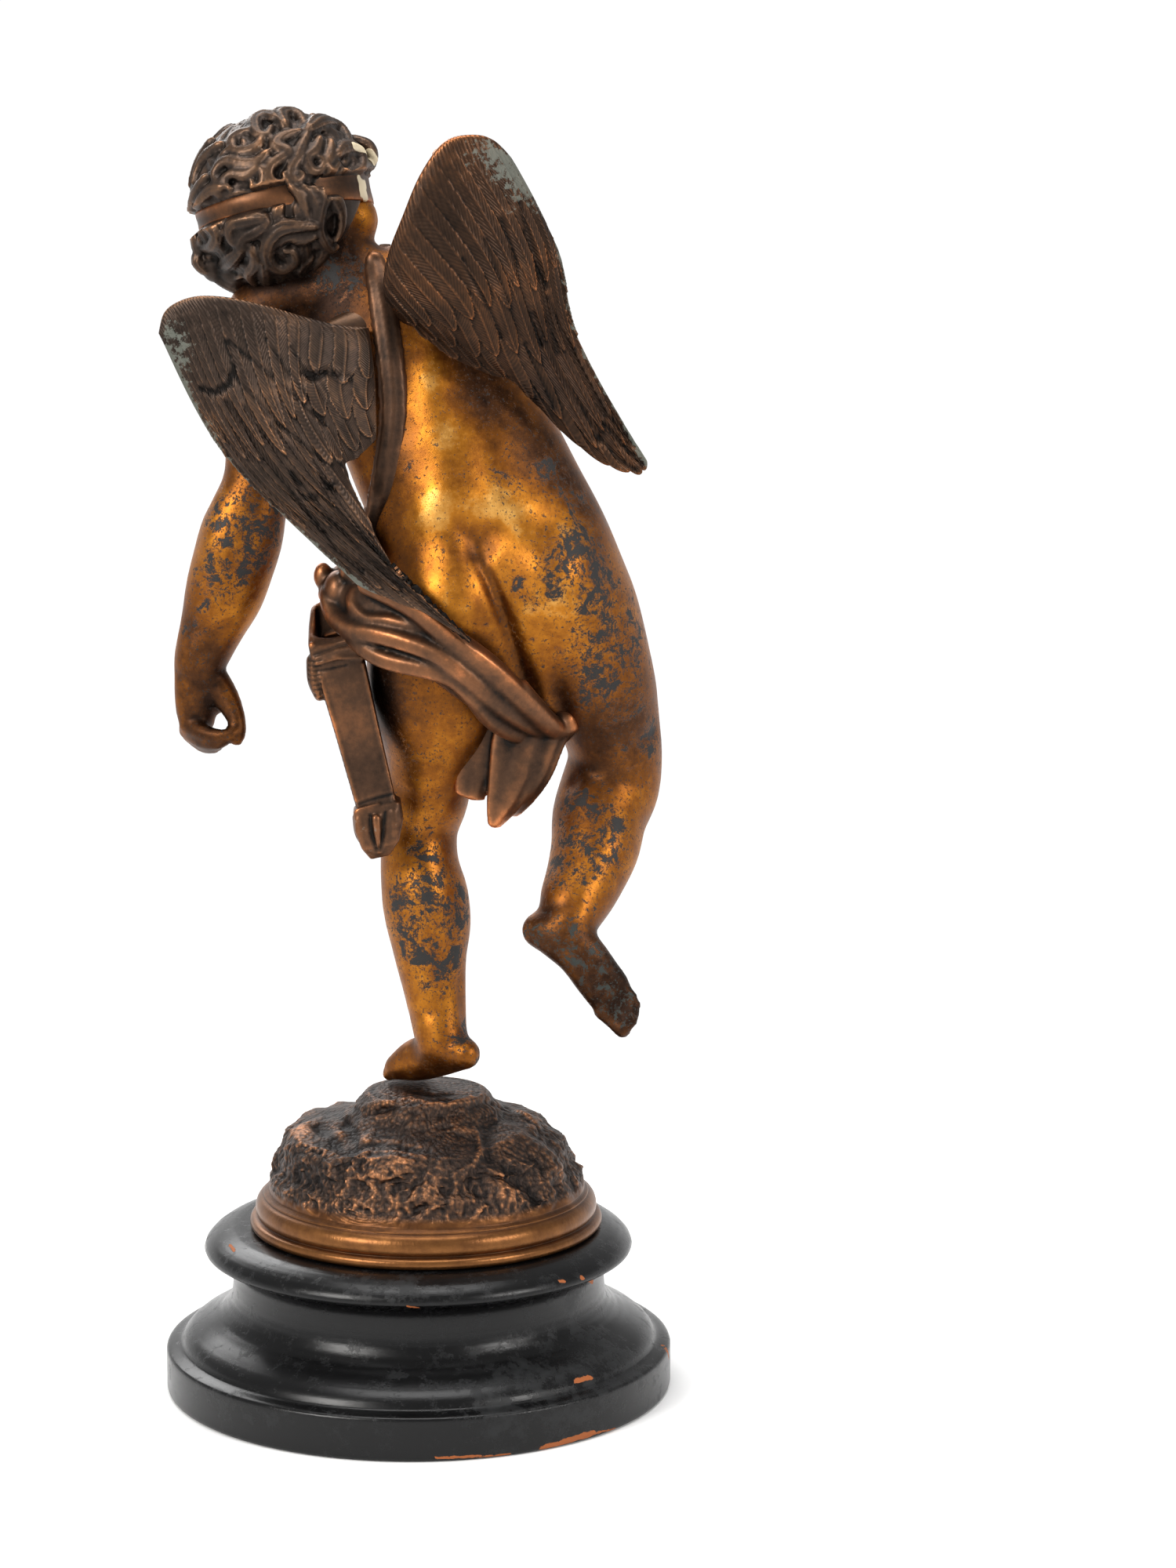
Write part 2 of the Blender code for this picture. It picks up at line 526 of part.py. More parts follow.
def cloth_forms(shape):
    for fold in DRAPE_FOLDS:
        limb(shape, fold, sides=9, steps=3, across=(0.2, 0.3, 0.93))
    limb(shape, HIP_SHEET, sides=12, steps=3)
    for end in CLOTH_ENDS:
        limb(shape, end, sides=10, steps=3)
    ball(shape, (-26.6, 2, 151.5), (2.8, 3.0, 4.0))
    ball(shape, (-26, 2, 146.3), (2.2, 2.4, 2.6))
    ball(shape, (-22, -4, 148), (4.5, 6, 6))
    for rows in (SASH, SASH_FRONT):
        limb(shape, rows, sides=10, steps=3)


def make_figure(group, material):
    body = solid_from("body", body_forms(), group, FLESH_GRAIN, 10)
    carve_body(body.data)
    shape = bmesh.new()
    shape.from_mesh(body.data)
    bpy.data.objects.remove(body, do_unlink=True)
    for rows in LEFT_FINGERS + RIGHT_FINGERS:
        limb(shape, rows, sides=8, steps=2, across=(0.6, 0.6, 0.5))
    limb(shape, PALM, sides=10, steps=2)
    add_toes(shape)
    add_hair(shape)
    add_band(shape)
    cloth_forms(shape)
    figure = solid_from("cupid_figure", shape, group, CARVED_GRAIN, 3, FIGURE_FACES)
    figure.data.materials.append(material)
    return figure


def make_plinth(group, material):
    """The turned wood: foot ring, ogee, hollow neck, rounded collar and flat top."""
    top, foot = PLINTH_HEIGHT, FOOT_RING_HEIGHT
    bead = PLINTH_RADIUS * 0.941
    swell = foot + 0.0068
    profile = [(0, top), (COLLAR_RADIUS - 0.0100, top)]
    profile += [(COLLAR_RADIUS - 0.0064, top - 0.0009), (COLLAR_RADIUS - 0.0020, top - 0.0034),
                (COLLAR_RADIUS, top - 0.0062), (COLLAR_RADIUS - 0.0012, top - 0.0074),
                (NECK_RADIUS + 0.0024, top - 0.0094), (NECK_RADIUS, top - 0.0130),
                (NECK_RADIUS, top - 0.0190), (NECK_RADIUS + 0.0010, top - 0.0230),
                (NECK_RADIUS + 0.0042, top - 0.0262)]
    profile += [(bead - 0.0052, swell), (bead - 0.0010, foot + 0.0038), (bead, foot + 0.0010),
                (PLINTH_RADIUS - 0.0004, foot), (PLINTH_RADIUS, foot - 0.0005),
                (PLINTH_RADIUS, 0.0004), (PLINTH_RADIUS - 0.0004, 0), (0, 0)]
    return turned("turned_plinth", profile, group, material)


# The rock's outline to the left and to the right: share of its height, share of the
# mound's radius. The left side has a shelf, the right side a slope.
ROCK_LEFT = [(0, 0.894), (0.24, 0.846), (0.50, 0.800), (0.60, 0.750), (0.65, 0.620),
             (0.71, 0.480), (0.80, 0.415), (0.90, 0.375), (1, 0.330)]
ROCK_RIGHT = [(0, 0.904), (0.25, 0.831), (0.47, 0.770), (0.66, 0.635), (0.76, 0.450),
              (0.86, 0.385), (1, 0.330)]
ROCK_LIP = 0.0008
# The rock's waves: how many to the mound's radius, and how high as a share of it.
ROCK_WAVES, ROCK_WAVE_HEIGHT = 4.94, 0.05
ROCK_CHIPS, ROCK_CHIP_HEIGHT = 10.92, 0.03
ROCK_LEVELS = (1.0, 0.92, 0.82, 0.74, 0.67, 0.58, 0.45, 0.30, 0.14)


def outline_at(height, outline):
    for (low, wide), (high, narrow) in zip(outline, outline[1:]):
        if height <= high:
            return wide + (narrow - wide) * (height - low) / (high - low)
    return outline[-1][1]


def rock_reach(height, turn):
    """How far out the rock stands at a share of its height, as a share of the radius."""
    right = 0.5 + 0.5 * cos(turn)
    return (outline_at(height, ROCK_RIGHT) * right
            + outline_at(height, ROCK_LEFT) * (1 - right))


def make_mound(group, material):
    """A rocky knoll, cast with the moulded ring that it stands in."""
    base = PLINTH_HEIGHT + CLEARANCE
    collar = MOUND_RING_HEIGHT
    ring = [(0.900, collar + ROCK_LIP), (0.930, collar), (0.955, collar - 0.0018),
            (0.970, collar - 0.0040), (0.972, collar - 0.0060), (0.965, collar - 0.0066),
            (0.990, collar - 0.0070), (1.000, collar - 0.0080), (1.000, 0.0006),
            (0.990, 0.0)]
    span = MOUND_HEIGHT - collar - ROCK_LIP
    dome = [(0, MOUND_HEIGHT)]
    dome += [(rock_reach(h, pi / 2), collar + ROCK_LIP + span * h) for h in ROCK_LEVELS]
    profile = [(r * MOUND_RADIUS, base + h) for r, h in dome + ring] + [(0, base)]
    mound = turned("rocky_mound", profile, group, material)
    apply_modifiers(mound)
    foot_of_rock = base + collar + ROCK_LIP
    for vertex in mound.data.vertices:
        height = (vertex.co.z - foot_of_rock) / span
        if 0.02 < height < 0.999:
            turn = atan2(vertex.co.y, vertex.co.x)
            even = rock_reach(height, pi / 2)
            wanted = rock_reach(height, turn) / even
            rough = (noise.noise(vertex.co * (ROCK_WAVES / MOUND_RADIUS)) * ROCK_WAVE_HEIGHT
                     + noise.noise(vertex.co * (ROCK_CHIPS / MOUND_RADIUS)) * ROCK_CHIP_HEIGHT)
            fade = min(1.0, (1 - height) * 6, height * 6)
            vertex.co.xy *= 1 + (wanted - 1 + rough) * fade
            vertex.co.z += noise.noise(vertex.co * 130) * 0.0016 * min(fade, (1 - height) * 3)
    mound.data.transform(Matrix.Translation((*MOUND_SHIFT, 0)))
    return mound


# The left wing's feathers, from the innermost to the outermost: where each leaves the
# arm of the wing, its middle and its tip.
LEFT_WING = [
    [(-12.9, -8, 223.4), (-21.7, -11, 224.3), (-31.5, -14, 226.9), (-41.3, -17, 230.1),
     (-51.1, -18.5, 232.4), (-59.8, -19, 233), (-65.8, -19, 231.5), (-69.8, -18.5, 228.4),
     (-71.5, -17.5, 222.7)],
    [(-11.1, -14, 207.9), (-19.5, -18, 207.1), (-28.3, -21, 206.2), (-31.6, -24, 196.5),
     (-33.8, -25.5, 190), (-36.7, -26, 184.6), (-42.7, -25, 184.9), (-47.8, -23, 186.5),
     (-52.7, -20, 188.9)],
    [(-10.8, -17, 192.6), (-15.6, -20, 187.8), (-19.2, -23, 183.2), (-6.7, -30, 157.9),
     (2.3, -33, 146.5), (15.4, -35.5, 137.2), (4, -34, 144.3), (-5.9, -32, 148.1),
     (-16, -29, 152.3)],
]
RIGHT_WING = [
    [(-6.1, -12, 228.7), (-7.8, -16, 236.6), (-6.7, -20, 245.1), (-3.1, -24, 254.8),
     (1.8, -26, 266.5), (7.9, -27, 275.1), (14.5, -26, 277.7), (21.5, -23, 276.6),
     (26.6, -19, 270.1)],
    [(-5.1, -13, 231.8), (-1.7, -19, 229.1), (4.4, -23, 229.2), (11.5, -26, 233.6),
     (18.5, -26, 239.0), (24.7, -24, 243.2), (30.9, -21, 246.4), (36.3, -17, 248.3),
     (40.2, -13, 243.0)],
    [(-3.5, -13, 229.4), (3.8, -17, 223.5), (12.6, -19, 219.2), (20.7, -20, 217.5),
     (29.1, -19, 217.0), (35.8, -17, 218.0), (40.8, -15, 219.4), (44.2, -13, 220.6),
     (46.7, -11, 218.7)],
    [(0.5, -13, 223.3), (10.8, -15, 215.7), (22.1, -15, 210.6), (29.9, -14, 207.8),
     (42.7, -13, 193.7), (53.2, -13, 185.4), (60.6, -13, 182.5), (65.1, -13, 182.3),
     (66.6, -13, 185.4)],
]
FEATHER_ROWS = ((0.17, 7, 2.7), (0.34, 7, 2.1), (0.52, 6, 1.5), (0.74, 6, 0.9), (2.0, 6, 0.2))
FEATHER_STEP = 1.4
FEATHER_BOW = 0.075
QUILL_HEIGHT = 0.45
TIP_NOTCH = 0.035


def feather_relief(across, along):
    """Overlapping rows of feathers: how far the surface stands up, in units."""
    height = 0.0
    for edge, count, lift in FEATHER_ROWS:
        share = across * count - int(across * count)
        end = edge + FEATHER_BOW * (1 - (2 * share - 1) ** 2)
        if along < end:
            quill = QUILL_HEIGHT * max(0, 1 - abs(share - 0.5) * 7)
            height = max(height, lift + FEATHER_STEP * share * (1 - 0.4 * along) + quill)
    return height


WING_STEPS_ACROSS, WING_STEPS_ALONG = 8, 48


def make_wing(name, stations, group, material, root):
    """A curved plate of feathers that grows from a rounded root at the back."""
    shape = bmesh.new()
    lines = [smooth_rows(line, WING_STEPS_ACROSS) for line in stations]
    columns = len(lines[0]) - 1
    span = WING_STEPS_ALONG // (len(stations) - 1)
    feathers = FEATHER_ROWS[-1][1]
    front = []
    thick = WING_THICKNESS / UNIT
    for i in range(columns + 1):
        line = [Vector(row) for row in smooth_rows([line[i] for line in lines], span)]
        rows = len(line) - 1
        share = (i / columns * feathers) % 1
        reach = 1 - TIP_NOTCH * (1 - sin(pi * share) ** 0.6)
        spread = []
        for j in range(rows + 1):
            level = reach * j
            low = min(int(level), rows - 1)
            spread.append(line[low].lerp(line[low + 1], level - low))
        front.append(spread)
    grid = []
    for i in range(columns + 1):
        out, under = [], []
        for j in range(rows + 1):
            here = front[i][j]
            side = front[min(i + 1, columns)][j] - front[max(i - 1, 0)][j]
            down = front[i][min(j + 1, rows)] - front[i][max(j - 1, 0)]
            normal = side.cross(down).normalized()
            if normal.y > 0:
                normal.negate()
            across, along = i / columns, j / rows
            edge = min(across, 1 - across, along, 1 - along)
            full = thick * (0.45 + 0.55 * min(1, edge * 6)) * (1.25 - 0.6 * along)
            lift = feather_relief(across, along)
            out.append(shape.verts.new(pose_point(*(here + normal * lift))))
            under.append(shape.verts.new(pose_point(*(here - normal * full))))
        grid.append((out, under))
    for i in range(columns):
        for j in range(rows):
            for layer in (0, 1):
                corners = [grid[i][layer][j], grid[i + 1][layer][j],
                           grid[i + 1][layer][j + 1], grid[i][layer][j + 1]]
                shape.faces.new(corners if layer else corners[::-1])
    border = ([(i, 0) for i in range(columns)] + [(columns, j) for j in range(rows)]
              + [(i, rows) for i in range(columns, 0, -1)] + [(0, j) for j in range(rows, 0, -1)])
    for (i, j), (m, n) in zip(border, border[1:] + border[:1]):
        shape.faces.new((grid[i][0][j], grid[m][0][n], grid[m][1][n], grid[i][1][j]))
    limb(shape, root, sides=12, steps=3)
    wing = solid_from(name, shape, group, CARVED_GRAIN * 0.9, 1)
    wing.data.materials.append(material)
    return wing


# The quiver, from the rim of its mouth down: x, y, z, half width, half depth, and how
# much higher the far wall stands than the near one.
QUIVER = [
    (-23.4, -7, 135.6, 6.8, 7.0, 10.5), (-22.8, -8, 134.0, 8, 7.8, 7),
    (-22.1, -9, 131.0, 8, 7.8, 3), (-21.9, -9.5, 129.2, 7, 6.8, 0),
    (-21.2, -10, 126.7, 6.7, 6.4, 0), (-17, -12, 109.9, 6, 5.4, 0),
    (-11.5, -14, 88, 5.4, 4.6, 0), (-11.4, -14, 87.2, 6.8, 5.6, 0),
    (-10.8, -14.5, 81.6, 7, 5.6, 0), (-10.4, -15, 76, 5.4, 4.6, 0),
    (-10.5, -15, 72.2, 2.8, 2.6, 0),
]
QUIVER_SIDES = 20
QUIVER_SQUARENESS = 6
QUIVER_LEAN = 12


def quiver_ring(x, y, z, wide, deep, far):
    """A squared ring, level with the quiver's lean and raised at its far side."""
    ring = []
    for k in range(QUIVER_SIDES):
        a = 2 * pi * (k + 0.5) / QUIVER_SIDES
        c, s = cos(a), sin(a)
        power = QUIVER_SQUARENESS
        out = (abs(c) ** power + abs(s) ** power) ** (-1 / power)
        ring.append(pose_point(x + wide * out * c, y + deep * out * s,
                               z + 0.22 * wide * out * c + far * (0.5 + 0.5 * s)))
    return ring


def make_quiver(group, cutters, material):
    """A tapering case of nearly square section with a moulded mouth and a leafy foot."""
    shape = bmesh.new()
    rings = [quiver_ring(*row) for row in QUIVER]
    top = sum(rings[0], Vector()) / QUIVER_SIDES
    low = sum(rings[-1], Vector()) / QUIVER_SIDES
    skin(shape, rings[::-1], low, top)
    bmesh.ops.recalc_face_normals(shape, faces=shape.faces)
    mesh = bpy.data.meshes.new("quiver")
    shape.to_mesh(mesh)
    shape.free()
    quiver = add_object("quiver", mesh, group, material)
    pocket = bmesh.new()
    x, y, z, wide, deep, far = QUIVER[0]
    reach = far * UNIT + QUIVER_DEPTH
    inner = (2 * (wide * UNIT - QUIVER_WALL), 2 * (deep * UNIT - QUIVER_WALL), 2 * reach)
    bmesh.ops.create_cube(pocket, size=1)
    pocket.transform(Matrix.Translation(pose_point(x, y, z + far))
                     @ Matrix.Rotation(radians(-QUIVER_LEAN), 4, "Y")
                     @ Matrix.Diagonal((*inner, 1)))
    hole = bpy.data.meshes.new("quiver_mouth")
    pocket.to_mesh(hole)
    pocket.free()
    cut(quiver, add_object("quiver_mouth", hole, cutters), "EXACT")
    return quiver


def cut(item, cutter, solver="MANIFOLD"):
    """The item less the cutter, kept as one body."""
    cutter.hide_render = True
    cutter.display_type = "WIRE"
    take = item.modifiers.new("Cut", "BOOLEAN")
    take.operation = "DIFFERENCE"
    take.solver = solver
    take.object = cutter
    apply_modifiers(item)
    keep_largest(item.data)


def keep_largest(mesh):
    shape = bmesh.new()
    shape.from_mesh(mesh)
    bmesh.ops.remove_doubles(shape, verts=shape.verts, dist=0.00002)
    left = set(shape.verts)
    islands = []
    while left:
        front = [left.pop()]
        island = list(front)
        while front:
            vert = front.pop()
            for edge in vert.link_edges:
                other = edge.other_vert(vert)
                if other in left:
                    left.remove(other)
                    front.append(other)
                    island.append(other)
        islands.append(island)
    islands.sort(key=len)
    for island in islands[:-1]:
        bmesh.ops.delete(shape, geom=island, context="VERTS")
    shape.to_mesh(mesh)
    shape.free()


def clearance_cutter(figure, cutters):
    """The figure, swollen by the clearance that the pieces fixed to it keep."""
    mesh = figure.data.copy()
    item = add_object("figure_clearance", mesh, cutters)
    for vertex in mesh.vertices:
        vertex.co += vertex.normal * SWELLING
    fuse_forms(item, CUTTER_GRAIN)
    apply_modifiers(item)
    return item


LEFT_ROOT = [(-8, 1, 222, 9, 7), (-16, -5, 220, 10, 6), (-24, -11, 218, 9, 4)]
RIGHT_ROOT = [(4, 3, 228, 9, 9), (2, -6, 231, 9, 6.5), (3, -13, 236, 8, 5)]


def main():
    clear_scene()
    group = new_collection("cupid_statue")
    cutters = new_collection("cutters")
    bronze = finish("gilt_bronze", (0.55, 0.33, 0.12), 0.38, 0.9)
    brown = finish("brown_bronze", (0.16, 0.10, 0.07), 0.5, 0.8)
    rock = finish("mound_bronze", (0.22, 0.12, 0.06), 0.45, 0.85)
    dark = finish("dark_bronze", (0.11, 0.08, 0.06), 0.5, 0.8)
    black = finish("ebonised_wood", (0.015, 0.015, 0.016), 0.3, 0.0)
    make_plinth(group, black)
    make_mound(group, rock)
    figure = make_figure(group, bronze)
    round_figure = clearance_cutter(figure, cutters)
    left = make_wing("left_wing", LEFT_WING, group, dark, LEFT_ROOT)
    right = make_wing("right_wing", RIGHT_WING, group, dark, RIGHT_ROOT)
    quiver = make_quiver(group, cutters, brown)
    cut(quiver, round_figure)
    for wing in (left, right):
        cut(wing, round_figure)
        fuse_forms(wing, CARVED_GRAIN)
        apply_modifiers(wing)
        keep_largest(wing.data)
        thin(wing, WING_FACES)


main()
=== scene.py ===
"""A striding, blindfolded cupid in worn gilt metal on a rocky mound and a black plinth."""

import random
from math import cos, exp, pi, radians, sin

import bmesh
import bpy
import numpy as np
from mathutils import Euler, Matrix, Vector, noise
from mathutils.bvhtree import BVHTree


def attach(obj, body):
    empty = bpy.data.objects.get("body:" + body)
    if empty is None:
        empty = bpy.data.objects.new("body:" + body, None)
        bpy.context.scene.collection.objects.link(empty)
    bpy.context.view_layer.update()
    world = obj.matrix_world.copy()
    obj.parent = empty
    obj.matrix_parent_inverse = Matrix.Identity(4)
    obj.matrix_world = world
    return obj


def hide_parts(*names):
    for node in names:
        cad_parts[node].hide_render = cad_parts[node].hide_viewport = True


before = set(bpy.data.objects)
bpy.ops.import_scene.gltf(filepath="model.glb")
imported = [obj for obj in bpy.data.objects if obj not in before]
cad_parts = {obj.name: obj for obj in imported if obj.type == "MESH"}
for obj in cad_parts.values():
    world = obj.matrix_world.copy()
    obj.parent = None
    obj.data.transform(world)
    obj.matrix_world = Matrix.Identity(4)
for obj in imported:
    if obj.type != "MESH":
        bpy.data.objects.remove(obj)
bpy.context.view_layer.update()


# The camera stands a good metre behind the statue and looks down on it a little. Marks
# that the photograph shows are placed along its sight lines, on the piece they belong to.

EYE = Vector((0.0, -1.14625, 0.37611))
LOOK_DOWN, LOOK_RIGHT, LOOK_ROLL = 9.70, 2.504, 0.115
FOCAL_PIXELS = 5080.87
PHOTO_WIDE, PHOTO_TALL = 1500, 2000
SENSOR = 36.0
EYE_TURN = (Matrix.Rotation(radians(-LOOK_RIGHT), 3, "Z")
            @ Matrix.Rotation(radians(90 - LOOK_DOWN), 3, "X")
            @ Matrix.Rotation(radians(LOOK_ROLL), 3, "Z"))

lens = bpy.data.cameras.new("camera")
lens.lens = FOCAL_PIXELS / PHOTO_TALL * SENSOR
lens.sensor_width = SENSOR
lens.clip_start = 0.05
camera = bpy.data.objects.new("camera", lens)
camera.matrix_world = Matrix.Translation(EYE) @ EYE_TURN.to_4x4()
bpy.context.scene.collection.objects.link(camera)
bpy.context.scene.camera = camera


def surface_of(mesh):
    shape = bmesh.new()
    shape.from_mesh(mesh)
    tree = BVHTree.FromBMesh(shape)
    shape.free()
    return tree


def seen_on(tree, across, down):
    """The place on a surface that the photograph shows at that point, or None."""
    sight = Vector(((across - PHOTO_WIDE / 2) / FOCAL_PIXELS,
                    (PHOTO_TALL / 2 - down) / FOCAL_PIXELS, -1))
    return tree.ray_cast(EYE, EYE_TURN @ sight.normalized())[0]


def seen_path(tree, points):
    found = [seen_on(tree, *point) for point in points]
    return [np.array(place) for place in found if place]


# The plinth is one block of turned wood, stained black and polished. Its edges are
# chipped down to the orange wood, and its right side is scuffed grey. Two grey spots on
# its neck are painted highlights.

PLINTH_PROFILE = [
    (0, 48.3), (52.6, 48.3), (55.2, 48.1), (57.4, 47.5), (59.6, 46.5), (61.5, 45.2),
    (62.9, 43.7), (63.4, 42.3), (63.1, 41.5), (62.2, 40.9), (60.4, 40.2), (58.2, 39.2),
    (56.5, 37.9), (55.6, 36.4), (55.2, 34.6), (55.1, 31.6), (55.3, 29.0), (55.9, 26.8),
    (57.2, 24.6), (59.2, 22.5), (61.9, 20.7), (65.0, 19.0), (67.4, 17.6), (69.1, 16.2),
    (70.1, 14.9), (70.4, 13.9), (70.9, 13.5), (71.9, 13.2), (73.0, 12.9), (74.2, 12.6),
    (74.8, 12.2), (75.0, 11.6), (75.0, 1.0), (74.8, 0.3), (74.3, 0), (0, 0),
]
# Chips along the edges: how wide in millimetres, and their path across the photograph.
CHIPS = [
    (0.55, (742, 1630), (756, 1635), (772, 1633), (784, 1627)), (0.40, (712, 1634), (720, 1634)),
    (0.45, (521, 1667), (534, 1668)), (0.60, (735, 1762), (744, 1759), (753, 1757)),
    (0.70, (692, 1847), (712, 1842), (735, 1834), (756, 1828)),
    (0.35, (756, 1828), (785, 1822), (806, 1816)), (0.35, (556, 1859), (600, 1858), (650, 1855)),
    (0.45, (846, 1716), (851, 1724), (853, 1732)), (0.35, (300, 1596), (292, 1588)),
]
# Grey spots across and down the photograph, with their reach in millimetres: scuffs on the right side,
# and painted highlights on the neck at (740, 1640) and (520, 1640).
SCUFFS_AND_HIGHLIGHTS = [(700, 1770, 16), (770, 1740, 14), (640, 1800, 14), (740, 1640, 8), (520, 1640, 10)]
CHIP_EDGE = 1.6
TURNS = 400
JOIN = 0.000002
PROFILE_STEP = 0.9


class Reading:
    """A value that changes over a surface. Arithmetic on it adds the Math nodes."""

    def __init__(self, recipe, socket):
        self.recipe = recipe
        self.socket = socket

    def maths(self, operation, *values, clamp=False):
        inputs = dict(enumerate(values))
        return self.recipe.node("Math", inputs, operation=operation, use_clamp=clamp)

    def __add__(self, other):
        return self.maths("ADD", self, other)

    def __sub__(self, other):
        return self.maths("SUBTRACT", self, other)

    def __rsub__(self, other):
        return self.maths("SUBTRACT", other, self)

    def __mul__(self, other):
        return self.maths("MULTIPLY", self, other)

    def __truediv__(self, other):
        return self.maths("DIVIDE", self, other)

    def __pow__(self, other):
        return self.maths("POWER", self, other)

    __radd__ = __add__
    __rmul__ = __mul__

    def clear(self, low, high):
        """0 below low, 1 above high, and a soft step between them."""
        return self.recipe.node("MapRange", {"Value": self, "From Min": low, "From Max": high},
                                interpolation_type="SMOOTHSTEP")

    def held(self):
        return self.maths("ADD", self, 0.0, clamp=True)


class Recipe:
    """A tree of nodes. Every node in it comes from node()."""

    def __init__(self, tree):
        self.tree = tree

    def node(self, kind, inputs=None, output=0, stops=None, **settings):
        made = self.tree.nodes.new(kind if "Node" in kind else "ShaderNode" + kind)
        for label, value in settings.items():
            setattr(made, label, value)
        if stops:
            ramp = made.color_ramp
            while len(ramp.elements) < len(stops):
                ramp.elements.new(0.5)
            for element, (place, colour) in zip(ramp.elements, stops):
                element.position = place
                element.color = colour
        for label, value in (inputs or {}).items():
            self.put(made.inputs[label], value)
        return made if output is None else Reading(self, made.outputs[output])

    def put(self, socket, value):
        if isinstance(value, Reading):
            self.tree.links.new(value.socket, socket)
        elif isinstance(value, tuple) and len(value) == 3 and socket.type == "RGBA":
            socket.default_value = (*value, 1.0)
        else:
            socket.default_value = value


class Finish(Recipe):
    """One material, with its shader and what it reads."""

    def __init__(self, name, **constants):
        self.material = bpy.data.materials.new(name)
        self.material.use_nodes = True
        super().__init__(self.material.node_tree)
        self.shader = self.tree.nodes["Principled BSDF"]
        for label, value in constants.items():
            self.shader.inputs[label.replace("_", " ")].default_value = value

    def shade(self, **values):
        for label, value in values.items():
            self.put(self.shader.inputs[label.replace("_", " ")], value)

    def place(self, stretch=(1, 1, 1)):
        spot = self.node("TexCoord", output="Object")
        return self.node("Mapping", {"Vector": spot, "Scale": stretch})

    def grain(self, size, detail=4.0, roughness=0.55, stretch=(1, 1, 1), warp=0.0):
        """Cloudy noise, with spots of about that many millimetres."""
        return self.node("TexNoise", {"Vector": self.place(stretch), "Scale": 1000.0 / size,
                                      "Detail": detail, "Roughness": roughness,
                                      "Distortion": warp})

    def cells(self, size, stretch=(1, 1, 1)):
        return self.node("TexVoronoi", {"Vector": self.place(stretch), "Scale": 1000.0 / size})

    def mark(self, label):
        return self.node("Attribute", output="Fac", attribute_name=label)

    def blend(self, share, low, high):
        """A colour between two colours."""
        return self.node("Mix", {0: share, 6: low, 7: high}, output=2, data_type="RGBA")

    def relief(self, height, depth, strength=1.0):
        """Bumps too fine for the mesh, that many millimetres deep."""
        bump = self.node("Bump", {"Height": height, "Distance": depth / 1000.0,
                                  "Strength": strength})
        self.put(self.shader.inputs["Normal"], bump)


def add_piece(name, mesh, node, slot, *finishes):
    """A finished piece at the origin, standing for its CAD node."""
    piece = bpy.data.objects.new(name, mesh)
    bpy.context.scene.collection.objects.link(piece)
    for finish in finishes:
        mesh.materials.append(finish.material)
    mesh.shade_smooth()
    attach(piece, "root")
    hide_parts(node)
    return piece


def write_mark(mesh, label, values):
    """A number for each vertex, that the finishes read by its name."""
    layer = mesh.attributes.new(label, "FLOAT", "POINT")
    layer.data.foreach_set("value", np.asarray(values, dtype=np.float32))


def read_places(mesh):
    places = np.empty(len(mesh.vertices) * 3)
    mesh.vertices.foreach_get("co", places)
    return places.reshape(-1, 3)


def ring_mesh(name, rings):
    """A closed skin over rings of points, each ring as long as the next."""
    count, sides = len(rings), len(rings[0])
    places = np.array(rings).reshape(-1, 3)
    one = np.arange(count * sides).reshape(count, sides)
    two = np.roll(one, -1, axis=1)
    faces = np.stack([one[:-1], two[:-1], two[1:], one[1:]], axis=-1).reshape(-1, 4)
    mesh = bpy.data.meshes.new(name)
    mesh.from_pydata(places.tolist(), [], faces.tolist())
    shape = bmesh.new()
    shape.from_mesh(mesh)
    bmesh.ops.remove_doubles(shape, verts=shape.verts, dist=JOIN)
    bmesh.ops.recalc_face_normals(shape, faces=shape.faces)
    shape.to_mesh(mesh)
    shape.free()
    return mesh


def lathe():
    """A tree that turns the points of a profile about the upright axis."""
    tree = bpy.data.node_groups.new("lathe", "GeometryNodeTree")
    kinds = {"Profile": "Geometry", "Turns": "Int", "Finish": "Material"}
    for label, kind in kinds.items():
        tree.interface.new_socket(label, in_out="INPUT", socket_type="NodeSocket" + kind)
    tree.interface.new_socket("Turned", in_out="OUTPUT", socket_type="NodeSocketGeometry")
    work = Recipe(tree)
    points = work.node("NodeGroupInput", output="Profile")
    turns = work.node("NodeGroupInput", output="Turns")
    finish = work.node("NodeGroupInput", output="Finish")
    rows = work.node("GeometryNodeAttributeDomainSize", {"Geometry": points}, output="Point Count")
    blank = work.node("GeometryNodeMeshGrid", {"Vertices X": rows, "Vertices Y": turns + 1},
                      output="Mesh")
    index = work.node("GeometryNodeInputIndex")
    row = (index / (turns + 1)).maths("FLOOR", index / (turns + 1))
    turn = (index - row * (turns + 1)) * (2 * pi) / turns
    spot = work.node("GeometryNodeSampleIndex",
                     {"Geometry": points, "Value": work.node("GeometryNodeInputPosition"),
                      "Index": row}, data_type="FLOAT_VECTOR")
    reach = work.node("SeparateXYZ", {"Vector": spot}, output="X")
    height = work.node("SeparateXYZ", {"Vector": spot}, output="Z")
    place = work.node("CombineXYZ", {"X": reach * turn.maths("COSINE", turn),
                                     "Y": reach * turn.maths("SINE", turn), "Z": height})
    shape = work.node("GeometryNodeSetPosition", {"Geometry": blank, "Position": place})
    shape = work.node("GeometryNodeMergeByDistance", {"Geometry": shape, "Distance": JOIN})
    shape = work.node("GeometryNodeRealizeInstances", {"Geometry": shape})
    shape = work.node("GeometryNodeSetMaterial", {"Geometry": shape, "Material": finish})
    work.node("NodeGroupOutput", {"Turned": shape}, output=None)
    return tree


LATHE = lathe()


